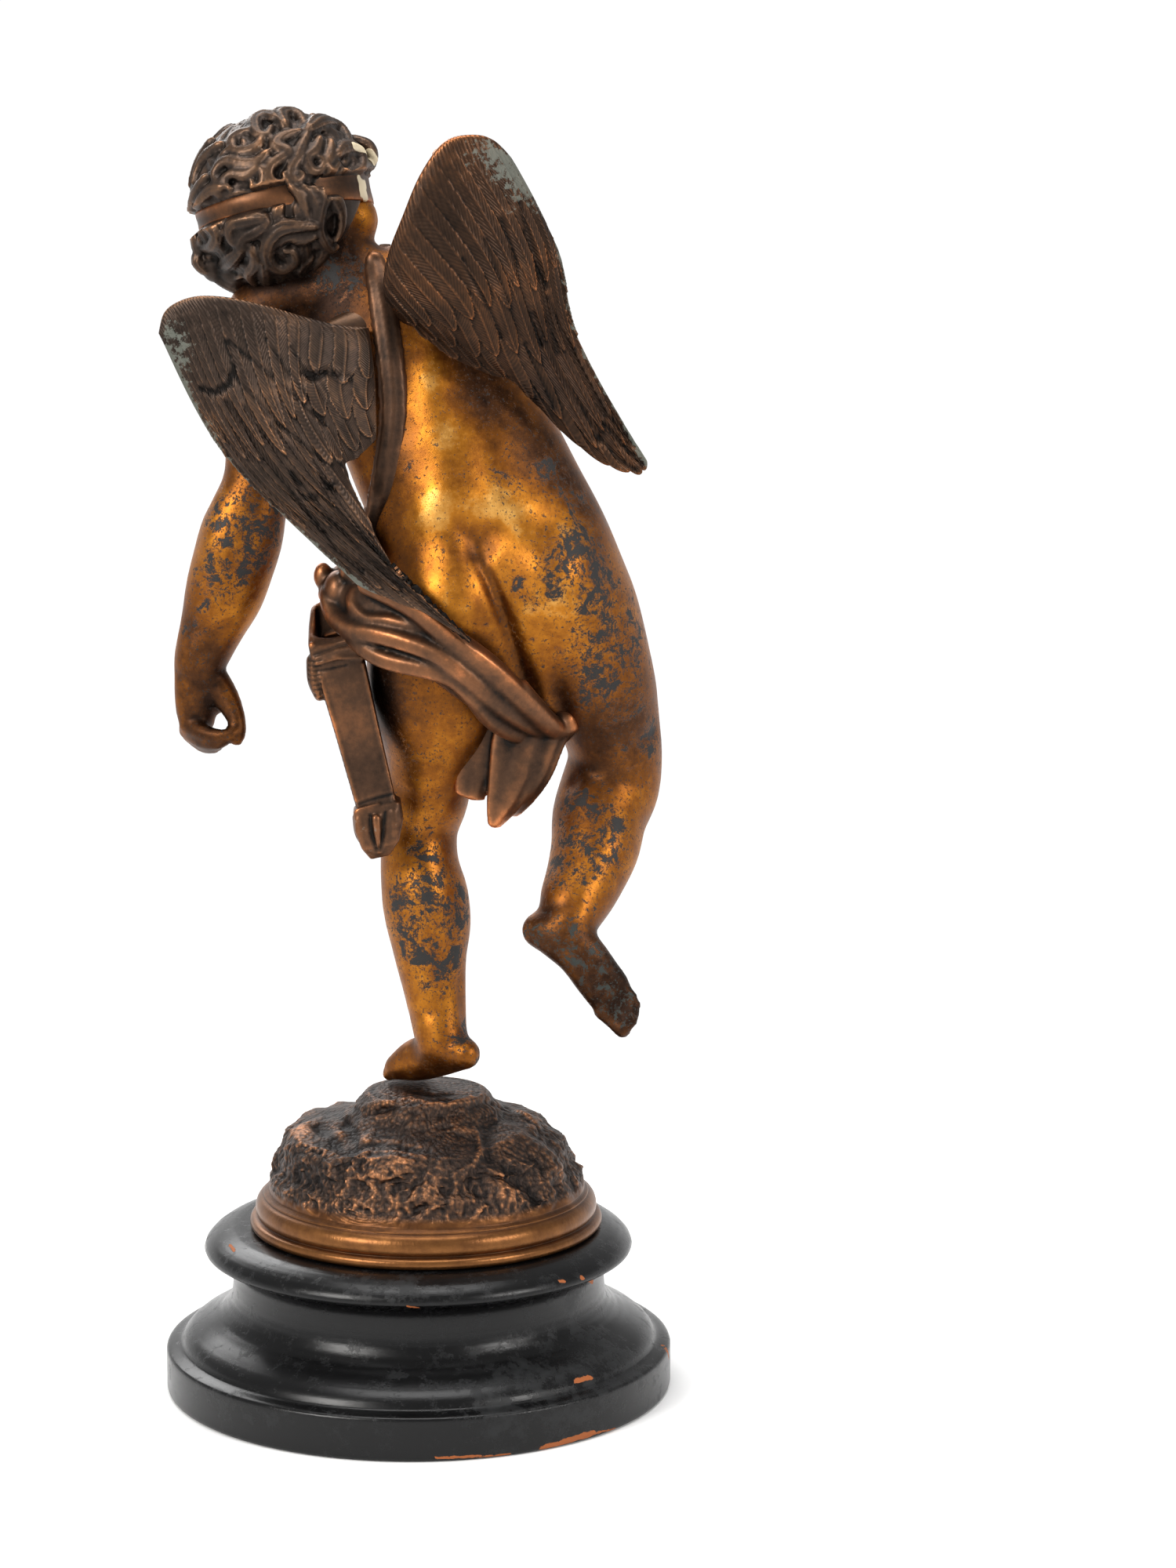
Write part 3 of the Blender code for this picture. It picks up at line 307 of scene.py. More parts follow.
def turned(name, profile, turns, finish):
    """A plain mesh of a turned piece: its profile as radius and height, in metres."""
    line = bpy.data.meshes.new(name)
    line.from_pydata([(radius, 0, height) for radius, height in profile],
                     [(k, k + 1) for k in range(len(profile) - 1)], [])
    blank = bpy.data.objects.new(name, line)
    bpy.context.scene.collection.objects.link(blank)
    turning = blank.modifiers.new("Turned", "NODES")
    turning.node_group = LATHE
    sockets = {item.name: item.identifier for item in LATHE.interface.items_tree}
    turning[sockets["Turns"]] = turns
    turning[sockets["Finish"]] = finish.material
    layer = bpy.context.evaluated_depsgraph_get()
    mesh = bpy.data.meshes.new_from_object(blank.evaluated_get(layer))
    bpy.data.objects.remove(blank)
    mesh.materials.pop(index=0)
    shape = bmesh.new()
    shape.from_mesh(mesh)
    bmesh.ops.recalc_face_normals(shape, faces=shape.faces)
    shape.to_mesh(mesh)
    shape.free()
    return mesh


def distance_to_path(places, path):
    """How far each place is from a line through the path's points."""
    nearest = np.full(len(places), 1e9)
    for one, two in zip(path, path[1:] or path):
        along = two - one
        share = (places - one) @ along / max(along @ along, 1e-12)
        foot = one + np.clip(share, 0, 1)[:, None] * along
        nearest = np.minimum(nearest, np.linalg.norm(places - foot, axis=1))
    return nearest


profile = []
for (radius, height), (after, below) in zip(PLINTH_PROFILE, PLINTH_PROFILE[1:]):
    length = ((after - radius) ** 2 + (below - height) ** 2) ** 0.5
    count = 1 if 0 in (radius, after) else max(1, round(length / PROFILE_STEP))
    profile += [(radius + (after - radius) * k / count, height + (below - height) * k / count)
                for k in range(count)]
profile += PLINTH_PROFILE[-1:]
ebonised = Finish("ebonised_wood", Metallic=0.0, Specular_IOR_Level=0.28)
plinth_mesh = turned("plinth", [(radius / 1000, height / 1000) for radius, height in profile],
                     TURNS, ebonised)
plinth_sight = surface_of(plinth_mesh)
plinth_places = read_places(plinth_mesh)
bare = np.zeros(len(plinth_places))
for width, *points in CHIPS:
    path = seen_path(plinth_sight, points)
    if path:
        gap = distance_to_path(plinth_places, path) * 1000 / width
        bare = np.maximum(bare, np.exp(-(gap / CHIP_EDGE) ** 2))
scuff_and_highlight_spots = np.zeros(len(plinth_places))
for across, down, size in SCUFFS_AND_HIGHLIGHTS:
    spot = seen_on(plinth_sight, across, down)
    if spot:
        gap = np.linalg.norm(plinth_places - np.array(spot), axis=1) * 1000 / size
        scuff_and_highlight_spots = np.maximum(scuff_and_highlight_spots, np.exp(-gap ** 2))
write_mark(plinth_mesh, "bare", bare)
write_mark(plinth_mesh, "scuffed_and_highlit", scuff_and_highlight_spots)

wood_grain = ebonised.grain(9.0, stretch=(1, 1, 5), detail=6)
scratches = ebonised.grain(1.6, stretch=(1, 1, 6), detail=8, roughness=0.7)
splinters = ebonised.grain(1.8, detail=8, roughness=0.75)
chipped = (ebonised.mark("bare") + (splinters - 0.5) * 1.3).clear(0.50, 0.58)
rubs = ebonised.grain(6.0, detail=9, roughness=0.75)
# Scuffs and the painted highlights on the neck lighten the polish here.
scuffed_and_highlit = (rubs + ebonised.mark("scuffed_and_highlit") * 0.12).clear(0.52, 0.74)
polish = ebonised.blend(scuffed_and_highlit * 0.6 + scratches.clear(0.60, 0.72) * 0.3,
                        (0.0026, 0.0026, 0.0028), (0.016, 0.017, 0.018))
ebonised.shade(
    Base_Color=ebonised.blend(chipped, polish, (0.30, 0.085, 0.022)),
    Roughness=0.24 + scuffed_and_highlit * 0.22 + (wood_grain - 0.5) * 0.14 + chipped * 0.4,
)
ebonised.relief(scratches * 0.4 + scuffed_and_highlit * 0.4 - chipped * 1.6, 0.15, 0.6)
add_piece("plinth", plinth_mesh, "turned_plinth", "ebonised_wood")
# The mound is a casting of rock with a moulded ring round its foot. The rock was chased
# with punches and gravers, so its raised parts are rubbed to copper.

MOUND_RADIUS = 0.052
MOUND_TOP = 0.0893
MOUND_SHIFT = np.array((0.0023, -0.0003, 0.0))
ROCK_FOOT = 0.0594
MOUND_STEPS = 384
ROCK_ROWS = 130
TOP_RINGS = 14
RING_TOP, RING_FADE = 0.0622, 0.0014
RING_PROFILE = [
    (46.8, 59.4), (47.3, 58.9), (47.9, 58.6), (48.1, 58.4), (47.9, 58.15), (48.2, 57.9),
    (48.8, 57.6), (49.5, 57.0), (50.1, 56.1), (50.4, 55.1), (50.5, 54.1), (50.4, 53.2),
    (50.1, 52.5), (49.7, 52.1), (49.8, 51.85), (50.6, 51.75), (51.4, 51.5), (51.9, 51.0),
    (52.1, 50.3), (52.1, 49.6), (51.8, 49.0), (51.3, 48.7), (50.8, 48.6), (0, 48.6),
]
ROCK_LEFT = [(0, 0.894), (0.24, 0.846), (0.50, 0.800), (0.60, 0.750), (0.65, 0.620),
             (0.71, 0.480), (0.80, 0.415), (0.90, 0.375), (1, 0.330)]
ROCK_RIGHT = [(0, 0.904), (0.25, 0.831), (0.47, 0.770), (0.66, 0.635), (0.76, 0.450),
              (0.86, 0.385), (1, 0.330)]
# Each mark: how wide and how deep in millimetres, swelling where negative, and its path
# across the photograph.
ROCK_MARKS = [
    (2.2, 1.3, (440, 1432), (452, 1452), (450, 1474), (430, 1490)),
    (3.0, 1.2, (404, 1440), (424, 1450), (440, 1466)),
    (1.0, 0.8, (468, 1421), (500, 1413), (527, 1408)),
    (1.2, -0.6, (462, 1414), (496, 1405), (524, 1401)),
    (0.9, -0.9, (530, 1404), (548, 1408), (570, 1411), (590, 1404), (600, 1400)),
    (1.4, 0.5, (527, 1393), (552, 1398), (574, 1396)),
    (1.2, 0.7, (600, 1412), (622, 1404), (640, 1413)),
    (2.6, -0.9, (585, 1440), (600, 1444)),
    (0.8, -0.7, (604, 1440), (611, 1455), (613, 1470), (603, 1486), (580, 1498)),
    (1.6, 0.7, (622, 1452), (626, 1474), (612, 1496)),
    (1.0, -0.7, (443, 1493), (456, 1478), (470, 1470), (500, 1470), (540, 1477)),
    (1.4, 0.8, (452, 1464), (478, 1459), (510, 1461), (545, 1467)),
    (0.7, -0.6, (448, 1490), (460, 1502), (476, 1511)),
    (3.4, -1.3, (482, 1492), (500, 1486), (520, 1490)),
    (2.4, 1.0, (536, 1500), (524, 1506), (510, 1509)),
    (2.6, 1.2, (664, 1500), (676, 1514), (684, 1528)),
    (2.0, 0.8, (682, 1478), (690, 1488)),
    (4.2, -1.4, (708, 1500), (714, 1516)),
    (3.4, -0.9, (640, 1508), (652, 1520)),
    (3.0, 0.8, (630, 1480), (644, 1490), (650, 1500)),
    (3.6, -1.0, (392, 1440), (388, 1460)),
    (2.4, -0.8, (394, 1478), (398, 1484)),
    (2.6, 0.9, (376, 1500), (400, 1510), (430, 1508)),
    (1.2, 0.8, (645, 1412), (668, 1424), (690, 1444)),
    (1.8, -0.7, (662, 1418), (684, 1436)),
    (2.6, 0.7, (570, 1520), (566, 1540)),
    (2.6, -0.7, (540, 1530), (600, 1530)),
]
GRAVER_WIDTH, GRAVER_DEPTH = 0.34, 0.22
# Fans of graver's cuts: centre of the fan in the photograph, its inner and outer reach in
# pixels, the arc that it covers in degrees, and how many cuts it has.
GRAVER_FANS = [
    ((596, 1428), 14, 52, 100, 235, 9), ((606, 1424), 10, 30, -60, 60, 6),
    ((640, 1470), 20, 60, 190, 260, 7), ((470, 1520), 30, 64, 60, 150, 9),
]


def outline_at(height, outline):
    for (low, wide), (high, narrow) in zip(outline, outline[1:]):
        if height <= high:
            return wide + (narrow - wide) * (height - low) / (high - low)
    return outline[-1][1]


def rock_reach(height, turn):
    """How far out the rock stands at a share of its height, as a share of the radius."""
    right = 0.5 + 0.5 * cos(turn)
    return (outline_at(height, ROCK_RIGHT) * right
            + outline_at(height, ROCK_LEFT) * (1 - right))


def smooth_over(values, links, count, rounds):
    """Each value, evened out with its neighbours' a number of times."""
    one, two = links.T
    number = np.bincount(one, minlength=count) + np.bincount(two, minlength=count)
    out = np.array(values, dtype=float)
    flat = out.ndim == 1
    out = out.reshape(count, -1)
    for _ in range(rounds):
        for k in range(out.shape[1]):
            column = out[:, k]
            total = (np.bincount(one, column[two], count) + np.bincount(two, column[one], count))
            out[:, k] = 0.5 * column + 0.5 * total / np.maximum(number, 1)
    return out[:, 0] if flat else out


def read_links(mesh):
    links = np.empty(len(mesh.edges) * 2, dtype=np.int32)
    mesh.edges.foreach_get("vertices", links)
    return links.reshape(-1, 2)


def read_normals(mesh):
    normals = np.empty(len(mesh.vertices) * 3)
    mesh.vertices.foreach_get("normal", normals)
    return normals.reshape(-1, 3)


def move_places(mesh, places):
    mesh.vertices.foreach_set("co", places.ravel())
    mesh.update()


def mark_crests(mesh, label, rounds, depth):
    """Marks where the surface stands proud of its surroundings, and where it lies deep."""
    places, links = read_places(mesh), read_links(mesh)
    even = smooth_over(places, links, len(places), rounds)
    proud = ((places - even) * read_normals(mesh)).sum(axis=1) / (depth / 1000)
    write_mark(mesh, label, np.clip(proud, -1, 1))


def carve(mesh, path, width, depth):
    """A groove along a path, or a swelling where the depth is negative, in millimetres."""
    if not path:
        return
    places, normals = read_places(mesh), read_normals(mesh)
    gap = distance_to_path(places, path) * 1000 / width
    move_places(mesh, places - normals * (depth / 1000 * np.exp(-gap ** 2))[:, None])


turns = [2 * pi * k / MOUND_STEPS for k in range(MOUND_STEPS)]
rings = []
for k in range(TOP_RINGS):
    share = k / TOP_RINGS
    ring = []
    for a in turns:
        reach = rock_reach(1, a) * MOUND_RADIUS * share
        wave = 0.5 * noise.noise(Vector((reach * cos(a) * 160, reach * sin(a) * 160, 2.0)))
        ring.append((reach * cos(a), reach * sin(a), MOUND_TOP - 0.0007 * share ** 4
                     - 0.0006 * share * (0.5 + wave)))
    rings.append(ring)
for k in range(ROCK_ROWS):
    height = 1 - k / ROCK_ROWS
    level = ROCK_FOOT + (MOUND_TOP - ROCK_FOOT) * height
    ring = []
    for a in turns:
        reach = rock_reach(height, a)
        spot = Vector((reach * MOUND_RADIUS * cos(a), reach * MOUND_RADIUS * sin(a), level))
        bent = spot + Vector((0, 0, noise.noise(spot * 60) * 0.006))
        crag = 1 - abs(noise.noise(Vector((bent.x * 90, bent.y * 90, bent.z * 190)))) * 2
        fleck = 1 - abs(noise.noise(spot * 330)) * 2
        rough = (noise.noise(spot * 95) * 0.040 + crag * 0.028 + fleck * 0.013
                 + noise.noise(spot * 700) * 0.008)
        fade = min(1.0, 0.25 + (1 - height) * 6, height * 7)
        spot.xy *= 1 + (rough - 0.012) * fade
        spot.z += noise.noise(spot * 130) * 0.0014 * min(fade, (1 - height) * 3)
        spot.z -= 0.0007 * max(0, 1 - (1 - height) * 30)
        ring.append(tuple(spot))
    rings.append(ring)
for radius, level in RING_PROFILE:
    rings.append([(radius / 1000 * cos(a), radius / 1000 * sin(a), level / 1000) for a in turns])
mound_mesh = ring_mesh("mound", rings)
mound_mesh.transform(Matrix.Translation(MOUND_SHIFT))
mound_sight = surface_of(mound_mesh)
for width, depth, *path in ROCK_MARKS:
    carve(mound_mesh, seen_path(mound_sight, path), width, depth)
for (across, down), inner, outer, start, end, cuts in GRAVER_FANS:
    for k in range(cuts):
        reach = inner + (outer - inner) * k / (cuts - 1)
        arc = [radians(start + (end - start) * n / 6) for n in range(7)]
        path = [(across + reach * cos(a), down + reach * 0.8 * sin(a)) for a in arc]
        carve(mound_mesh, seen_path(mound_sight, path), GRAVER_WIDTH, GRAVER_DEPTH)
mark_crests(mound_mesh, "crest", 8, 0.20)
mark_crests(mound_mesh, "boulder", 90, 1.5)
heights = read_places(mound_mesh)[:, 2]
write_mark(mound_mesh, "ring", np.clip((RING_TOP - heights) / RING_FADE, 0, 1))

rock = Finish("mound_bronze", Metallic=0.85)
stipple = rock.cells(1.5)
punched = (0.45 - stipple) * (1 - rock.mark("ring"))
hatch = rock.grain(0.9, stretch=(1, 1, 0.3), detail=3, roughness=0.6)
cloud = rock.grain(16.0, detail=5)
ring_part = rock.mark("ring")
rubbed = (rock.mark("crest") * 0.32 + rock.mark("boulder") * 0.20 + (hatch - 0.5) * 0.6
          + (cloud - 0.5) * 0.8 + punched * 0.55 + 0.40).held()
rock_colour = rock.node("ValToRGB", {"Fac": rubbed}, stops=[
    (0.0, (0.012, 0.009, 0.008, 1)), (0.40, (0.042, 0.026, 0.019, 1)),
    (0.68, (0.115, 0.056, 0.030, 1)), (1.0, (0.38, 0.165, 0.072, 1))])
ring_wear = (rock.mark("crest") * 0.20 + (rock.grain(6.0, detail=9, roughness=0.7) - 0.5) * 0.9
             + 0.42).held()
ring_colour = rock.node("ValToRGB", {"Fac": ring_wear}, stops=[
    (0.0, (0.022, 0.012, 0.008, 1)), (0.45, (0.110, 0.042, 0.013, 1)),
    (1.0, (0.30, 0.125, 0.036, 1))])
rock.shade(Base_Color=rock.blend(ring_part, rock_colour, ring_colour),
           Roughness=0.50 - rubbed * 0.12 - ring_part * 0.06)
rock.relief((hatch * 0.7 - stipple * 0.9) * (1 - ring_part) + ring_part * hatch * 0.15, 0.55, 0.9)
add_piece("mound", mound_mesh, "rocky_mound", "mound_bronze", rock)
# The child is one casting with its hair, blindfold and drapery. The skin was gilt, and is
# worn to brown on the shoulders and arms, with dark scabs over the legs. Painted highlights
# on the back, and painted shade by the quiver and at the standing foot, are laid into the gilt.

POSE_ORIGIN = Vector((0.0, 0.0, 0.0896))
UNIT = 0.001
SKIN_GRAIN = 0.00100
TORSO = [
    (31.4, 0, 116, 13.7, 16), (27.3, 0, 136.6, 30.7, 24), (22.5, 0, 156, 35.5, 26),
    (16.8, 3, 175.2, 31.6, 25), (10.9, 6, 187.5, 30.7, 24), (2.7, 9, 204, 29.2, 22),
    (-5.6, 11, 217.4, 28.5, 20), (-13, 12, 227.5, 25, 17), (-19.8, 13, 236.5, 14.2, 13),
    (-25.4, 14, 245.4, 11.9, 12), (-30.9, 15, 254.3, 11.4, 12),
]
LEFT_LEG = [
    (7.0, 0, 138.9, 22, 22), (6.0, 1, 122.7, 20.6, 21), (5.8, 2, 109.9, 18.4, 19),
    (4.4, 4, 96.8, 13.5, 15.5), (3.2, 5, 85, 12, 13.5), (1.1, 6, 76.7, 11.1, 12),
    (0.8, 4, 66.5, 11.6, 12.5), (2.3, 2, 57.5, 12.8, 13.5), (3.5, 1, 48.3, 12.5, 13),
    (4.0, 0, 39.1, 10.7, 11), (5.1, -1, 29.9, 9.35, 9.5), (6.2, -3, 20.9, 8.4, 8.8),
    (7.2, -5, 14.3, 7.7, 8.2),
]
LEFT_FOOT = [
    (14, -12, 12.6, 4.8), (10.8, -7, 11.9, 6), (5.8, -2, 9.8, 6.5),
    (0.4, 3, 7.6, 6.4, 6.7), (-3.4, 7.0, 5.2, 6.8, 5.2), (-5.0, 8.6, 4.3, 6.6, 4.2),
]
RIGHT_LEG = [
    (40.5, -3, 160, 17.5, 21), (42.4, -2, 152.7, 18.4, 22), (46, 0, 139.9, 19.8, 22),
    (52.4, 2, 124.7, 17.1, 20), (56.1, 6, 110.2, 15.2, 17), (58.6, 9, 98.1, 13.8, 15.5),
    (57.2, 9, 88.7, 14.6, 15), (53.7, 3, 80.4, 14, 14.5), (52.1, -4, 72.4, 13.1, 13.5),
    (48.8, -11, 64.5, 11.6, 12), (45.6, -17, 58.7, 10.4, 11), (43.6, -22, 54, 8.6, 9),
]
RIGHT_FOOT = [
    (35.4, -22, 51.5, 5.6), (40.6, -25, 50.4, 7.2, 6.5), (46.4, -26, 46, 7.2, 6),
    (51.8, -26, 38.6, 7.2, 5), (55.7, -26, 33.3, 7.2, 4),
]
LEFT_ARM = [
    (-37, 14, 230, 11, 12), (-42.6, 14, 225.8, 11.6), (-43.4, 14, 217.3, 12),
    (-43.8, 13, 203.8, 11.4), (-44.6, 12, 190.2, 10.3), (-45.6, 10, 179, 9.8),
    (-47.9, 9, 170, 11), (-50.1, 9, 163.2, 12.2), (-52.9, 9, 154, 12.1),
    (-55.8, 9, 144.9, 11.5), (-59.3, 9, 135.7, 9.5), (-62.6, 9, 126.5, 8),
    (-63.6, 9, 120.5, 7, 6.6), (-64.1, 9.5, 114.5, 6.7, 5.2), (-64.2, 10.5, 107.5, 5.6, 4.8),
]
RIGHT_ARM = [
    (-2, 14, 235, 12), (6, 22, 232, 11.4), (12, 34, 223, 10.6), (16, 49, 213, 9.8),
    (15.6, 58, 213.5, 9.8), (14.8, 68, 225, 10), (13.8, 79, 242, 7.6),
    (12.8, 85, 251, 6.2), (12.4, 88.5, 258, 6.6, 5), (12, 91, 263, 5.6, 4.2),
]
SHOULDERS = [(-35, 14, 231, 11, 12), (-16, 13, 232, 13, 14), (0, 14, 234, 12, 13)]
PALM = [(-61, 10.5, 121, 6, 4), (-60, 11, 116, 6.6, 3.2), (-59.8, 10.5, 112.8, 5.4, 3)]
LEFT_FINGERS = [
    [(-58.4, 8, 119.8, 4.6), (-55.0, 6, 115, 3.9), (-52.4, 3.5, 110, 2.9),
     (-51.6, 2, 105.8, 2.4), (-52.0, 1.4, 103.6, 1.8)],
    [(-66.0, 9, 107.0, 3.3), (-62.0, 4, 105.6, 2.6), (-57.5, 1, 105.1, 2.1),
     (-53.4, 0, 105.6, 1.7)],
    [(-66.6, 12, 105.2, 3.1), (-62.6, 6, 103.0, 2.5), (-58.6, 2.5, 102.5, 2.1),
     (-55.6, 1.5, 103.4, 1.7)],
    [(-66.2, 15, 103.8, 3.0), (-62.2, 9.6, 101.0, 2.4), (-59.4, 5.6, 100.9, 2.0),
     (-57.4, 4.4, 101.6, 1.6)],
    [(-65.2, 18, 102.6, 2.7), (-61.4, 13.6, 99.9, 2.1), (-59.0, 10.4, 99.9, 1.7)],
]
RIGHT_FINGERS = [
    [(8, 87, 257, 2.8), (4.6, 91, 261, 2.5), (5.4, 96, 264, 2.1)],
    [(8.6, 91, 265, 2.4), (7.6, 95, 270, 2.1), (8, 100, 271, 1.8)],
    [(11, 92, 266, 2.4), (10.6, 96, 271.5, 2.1), (11, 101, 272, 1.8)],
    [(13.4, 92, 265.5, 2.3), (13.8, 96, 270, 2), (14.2, 100.4, 270, 1.8)],
    [(15.8, 91, 264, 2.2), (17, 94.6, 267.6, 1.9), (17.6, 98.4, 267.6, 1.7)],
]
# Seat, belly and chest: centre and radii.
FULL_FORMS = [
    ((10.2, -12, 145), (17.5, 16.5, 18)), ((37.6, -12, 152.8), (18, 17, 18.5)),
    ((22, 21, 168), (24, 12, 22)), ((-10, 24, 216), (20, 9, 14)),
]
HEAD_CENTRE = (-37.4, 16, 258.5)
HEAD_TURN = 55
HEAD_TILT = 12.5
HEAD_BOW = 8
HEAD_RADII = (22.5, 25, 23)
BAND_LEVEL = -1.0
TOE_AHEAD, TOE_INNER = Vector((-0.71, 0.69, 0)), Vector((0.69, 0.71, 0))
BALL_OF_FOOT = Vector((-3.4, 10.4, 2.9))
TOE_LEVEL = 3.0
STANDING_TOES = [(5.0, 5.6, 2.9), (1.6, 6.0, 2.5), (-1.2, 5.5, 2.4), (-3.6, 4.7, 2.3),
                 (-5.8, 3.6, 2.2)]
RAISED_TOES = [
    [(53.6, -26, 28.6, 3.0), (56.8, -27.4, 25.6, 2.6), (58.9, -28.8, 23.6, 2.6)],
    [(57.0, -26, 30.0, 2.2), (60.2, -28.2, 27.0, 1.9), (61.5, -29.4, 25.9, 1.8)],
    [(58.2, -26, 32.0, 2.2), (61.4, -28.4, 29.2, 1.8), (62.5, -29.4, 28.3, 1.7)],
    [(58.6, -25.6, 34.2, 2.1), (61.8, -28.0, 31.4, 1.7), (62.8, -28.8, 30.7, 1.6)],
    [(58.2, -25.0, 36.2, 2.0), (61.0, -27.0, 33.8, 1.6), (61.9, -27.6, 33.1, 1.5)],
]
# Where the back is evened out: from and to these heights, and right of the arm.
BACK_FROM, BACK_TO, BACK_BLEND, ARM_SIDE = 118, 236, 12, -34
BACK_ROUNDS = 100
# Hollows and swellings of the flesh: width, depth, and path across the photograph.
FLESH_FORMS = [
    (5.5, 1.2, (574, 450), (584, 500), (592, 550), (596, 600)),
    (5.0, 2.2, (594, 676), (608, 684), (620, 676)),
    (3.2, 2.0, (607, 690), (612, 702)),
    (5.0, 1.1, (624, 680), (642, 706), (662, 745)),
    (6.5, -1.5, (546, 652), (556, 636)),
    (6.5, -1.2, (640, 636), (664, 648)),
    (6.5, -0.9, (712, 655), (724, 672)),
    (12.0, -1.6, (572, 745), (590, 770)),
    (14.0, -1.5, (712, 760), (735, 800)),
    (5.5, 1.5, (612, 712), (626, 745), (640, 785), (655, 830), (676, 878), (696, 915)),
    (1.7, 2.6, (617, 722), (626, 742), (636, 768), (645, 796), (655, 826), (664, 852),
     (676, 878), (688, 904), (702, 922)),
    (4.0, 1.1, (598, 466), (612, 500), (622, 530)),
    (5.0, 1.0, (530, 430), (520, 480), (515, 540)),
    (3.0, 0.8, (648, 985), (672, 975), (702, 985), (730, 1000)),
    (2.2, 0.6, (508, 1010), (535, 1020), (566, 1012)),
    (6.0, -1.0, (540, 1095), (545, 1140)),
    (3.0, 0.7, (556, 1225), (560, 1290)),
    (2.6, 0.6, (587, 1250), (592, 1300)),
    (2.4, 0.7, (525, 1300), (545, 1290)),
    (2.0, 0.6, (668, 1150), (700, 1160), (730, 1155)),
    (5.0, -0.8, (280, 640), (270, 700)),
    (3.0, 0.7, (238, 800), (262, 806), (290, 800)),
    (1.6, 0.7, (226, 862), (250, 872), (282, 868)),
    (3.0, 0.9, (820, 945), (835, 935)),
]


def pose_point(x, y, z):
    """A place in millimetres from the mound's axis and the sole of the standing foot."""
    return POSE_ORIGIN + Vector((x, y, z)) * UNIT


def smooth_rows(rows, steps):
    """Rows of numbers, joined by a curve that passes through each of them."""
    out = []
    last = len(rows) - 1
    for i in range(last):
        before, here = rows[max(i - 1, 0)], rows[i]
        there, after = rows[i + 1], rows[min(i + 2, last)]
        for k in range(steps):
            t = k / steps
            out.append([
                0.5 * (2 * b + (c - a) * t + (2 * a - 5 * b + 4 * c - d) * t * t
                       + (3 * b - a - 3 * c + d) * t ** 3)
                for a, b, c, d in zip(before, here, there, after)
            ])
    out.append(list(rows[last]))
    return out


def skin_over(shape, rings):
    """Faces between rings of vertices, with both ends closed to a point."""
    for one, two in zip(rings, rings[1:]):
        for k in range(len(one)):
            n = (k + 1) % len(one)
            shape.faces.new((one[k], one[n], two[n], two[k]))
    for ring in (rings[0], rings[-1]):
        bmesh.ops.pointmerge(shape, verts=ring, merge_co=ring[0].co)


def limb(shape, rows, sides=32, steps=6, across=(0, 1, 0), ridges=0, ridge_depth=0.0):
    """A form through stations of x, y, z, half width and half depth, round or ridged."""
    rows = smooth_rows([r if len(r) == 5 else (*r, r[3]) for r in rows], steps)
    centres = [pose_point(*r[:3]) for r in rows]
    turns = [2 * pi * k / sides for k in range(sides)]
    rings = []
    for i, row in enumerate(rows):
        ahead = centres[min(i + 1, len(rows) - 1)] - centres[max(i - 1, 0)]
        ahead.normalize()
        wide = ahead.cross(Vector(across)).normalized()
        deep = wide.cross(ahead).normalized()
        half_width, half_depth = row[3] * UNIT, row[4] * UNIT
        cap = min(half_width, half_depth)
        first, last = i == 0, i == len(rows) - 1
        before = [(-1.0, 0.0), (-0.92, 0.4), (-0.75, 0.66), (-0.4, 0.92)] if first else []
        after = [(0.4, 0.92), (0.75, 0.66), (0.92, 0.4), (1.0, 0.0)] if last else []
        for shift, share in before + [(0, 1)] + after:
            rings.append([shape.verts.new(
                centres[i] + ahead * (shift * cap)
                + (wide * (half_width * cos(a)) + deep * (half_depth * sin(a)))
                * (share * (1 + ridge_depth * cos(ridges * a))))
                for a in turns])
    skin_over(shape, rings)


def ball(shape, centre, radii, turn=(0, 0, 0)):
    spin = Euler([radians(a) for a in turn]).to_matrix().to_4x4()
    size = Matrix.Diagonal((*[r * UNIT for r in radii], 1))
    bmesh.ops.create_uvsphere(shape, u_segments=40, v_segments=24, radius=1,
                              matrix=Matrix.Translation(pose_point(*centre)) @ spin @ size)


def cast(name, shape, fineness, rounds):
    """Overlapping forms fused into one skin, as wax is before it is cast."""
    bmesh.ops.recalc_face_normals(shape, faces=shape.faces)
    wax = bpy.data.meshes.new(name)
    shape.to_mesh(wax)
    shape.free()
    model = bpy.data.objects.new(name, wax)
    bpy.context.scene.collection.objects.link(model)
    fuse = model.modifiers.new("Fuse", "REMESH")
    fuse.mode = "VOXEL"
    fuse.voxel_size = fineness
    if rounds:
        soften = model.modifiers.new("Soften", "SMOOTH")
        soften.factor = 0.5
        soften.iterations = rounds
    layer = bpy.context.evaluated_depsgraph_get()
    mesh = bpy.data.meshes.new_from_object(model.evaluated_get(layer))
    bpy.data.objects.remove(model)
    return mesh


def head_axes():
    """The head turned to the right, leaning to the left and bowed a little."""
    return (Matrix.Rotation(radians(-HEAD_BOW), 3, "X")
            @ Matrix.Rotation(radians(-HEAD_TILT), 3, "Y")
            @ Matrix.Rotation(radians(-HEAD_TURN), 3, "Z"))


def on_head(x, y, z):
    """A place in the head's own right, forward and up, as a place of the pose."""
    return tuple(Vector(HEAD_CENTRE) + head_axes() @ Vector((x, y, z)))


def on_skull(turn, rise, lift=0.0):
    """A place on the skull: degrees round from the back, degrees up, and a lift."""
    t, r = radians(turn), radians(rise)
    way = (sin(t) * cos(r), -cos(t) * cos(r), sin(r))
    return on_head(*[w * (s + lift) for w, s in zip(way, HEAD_RADII)])


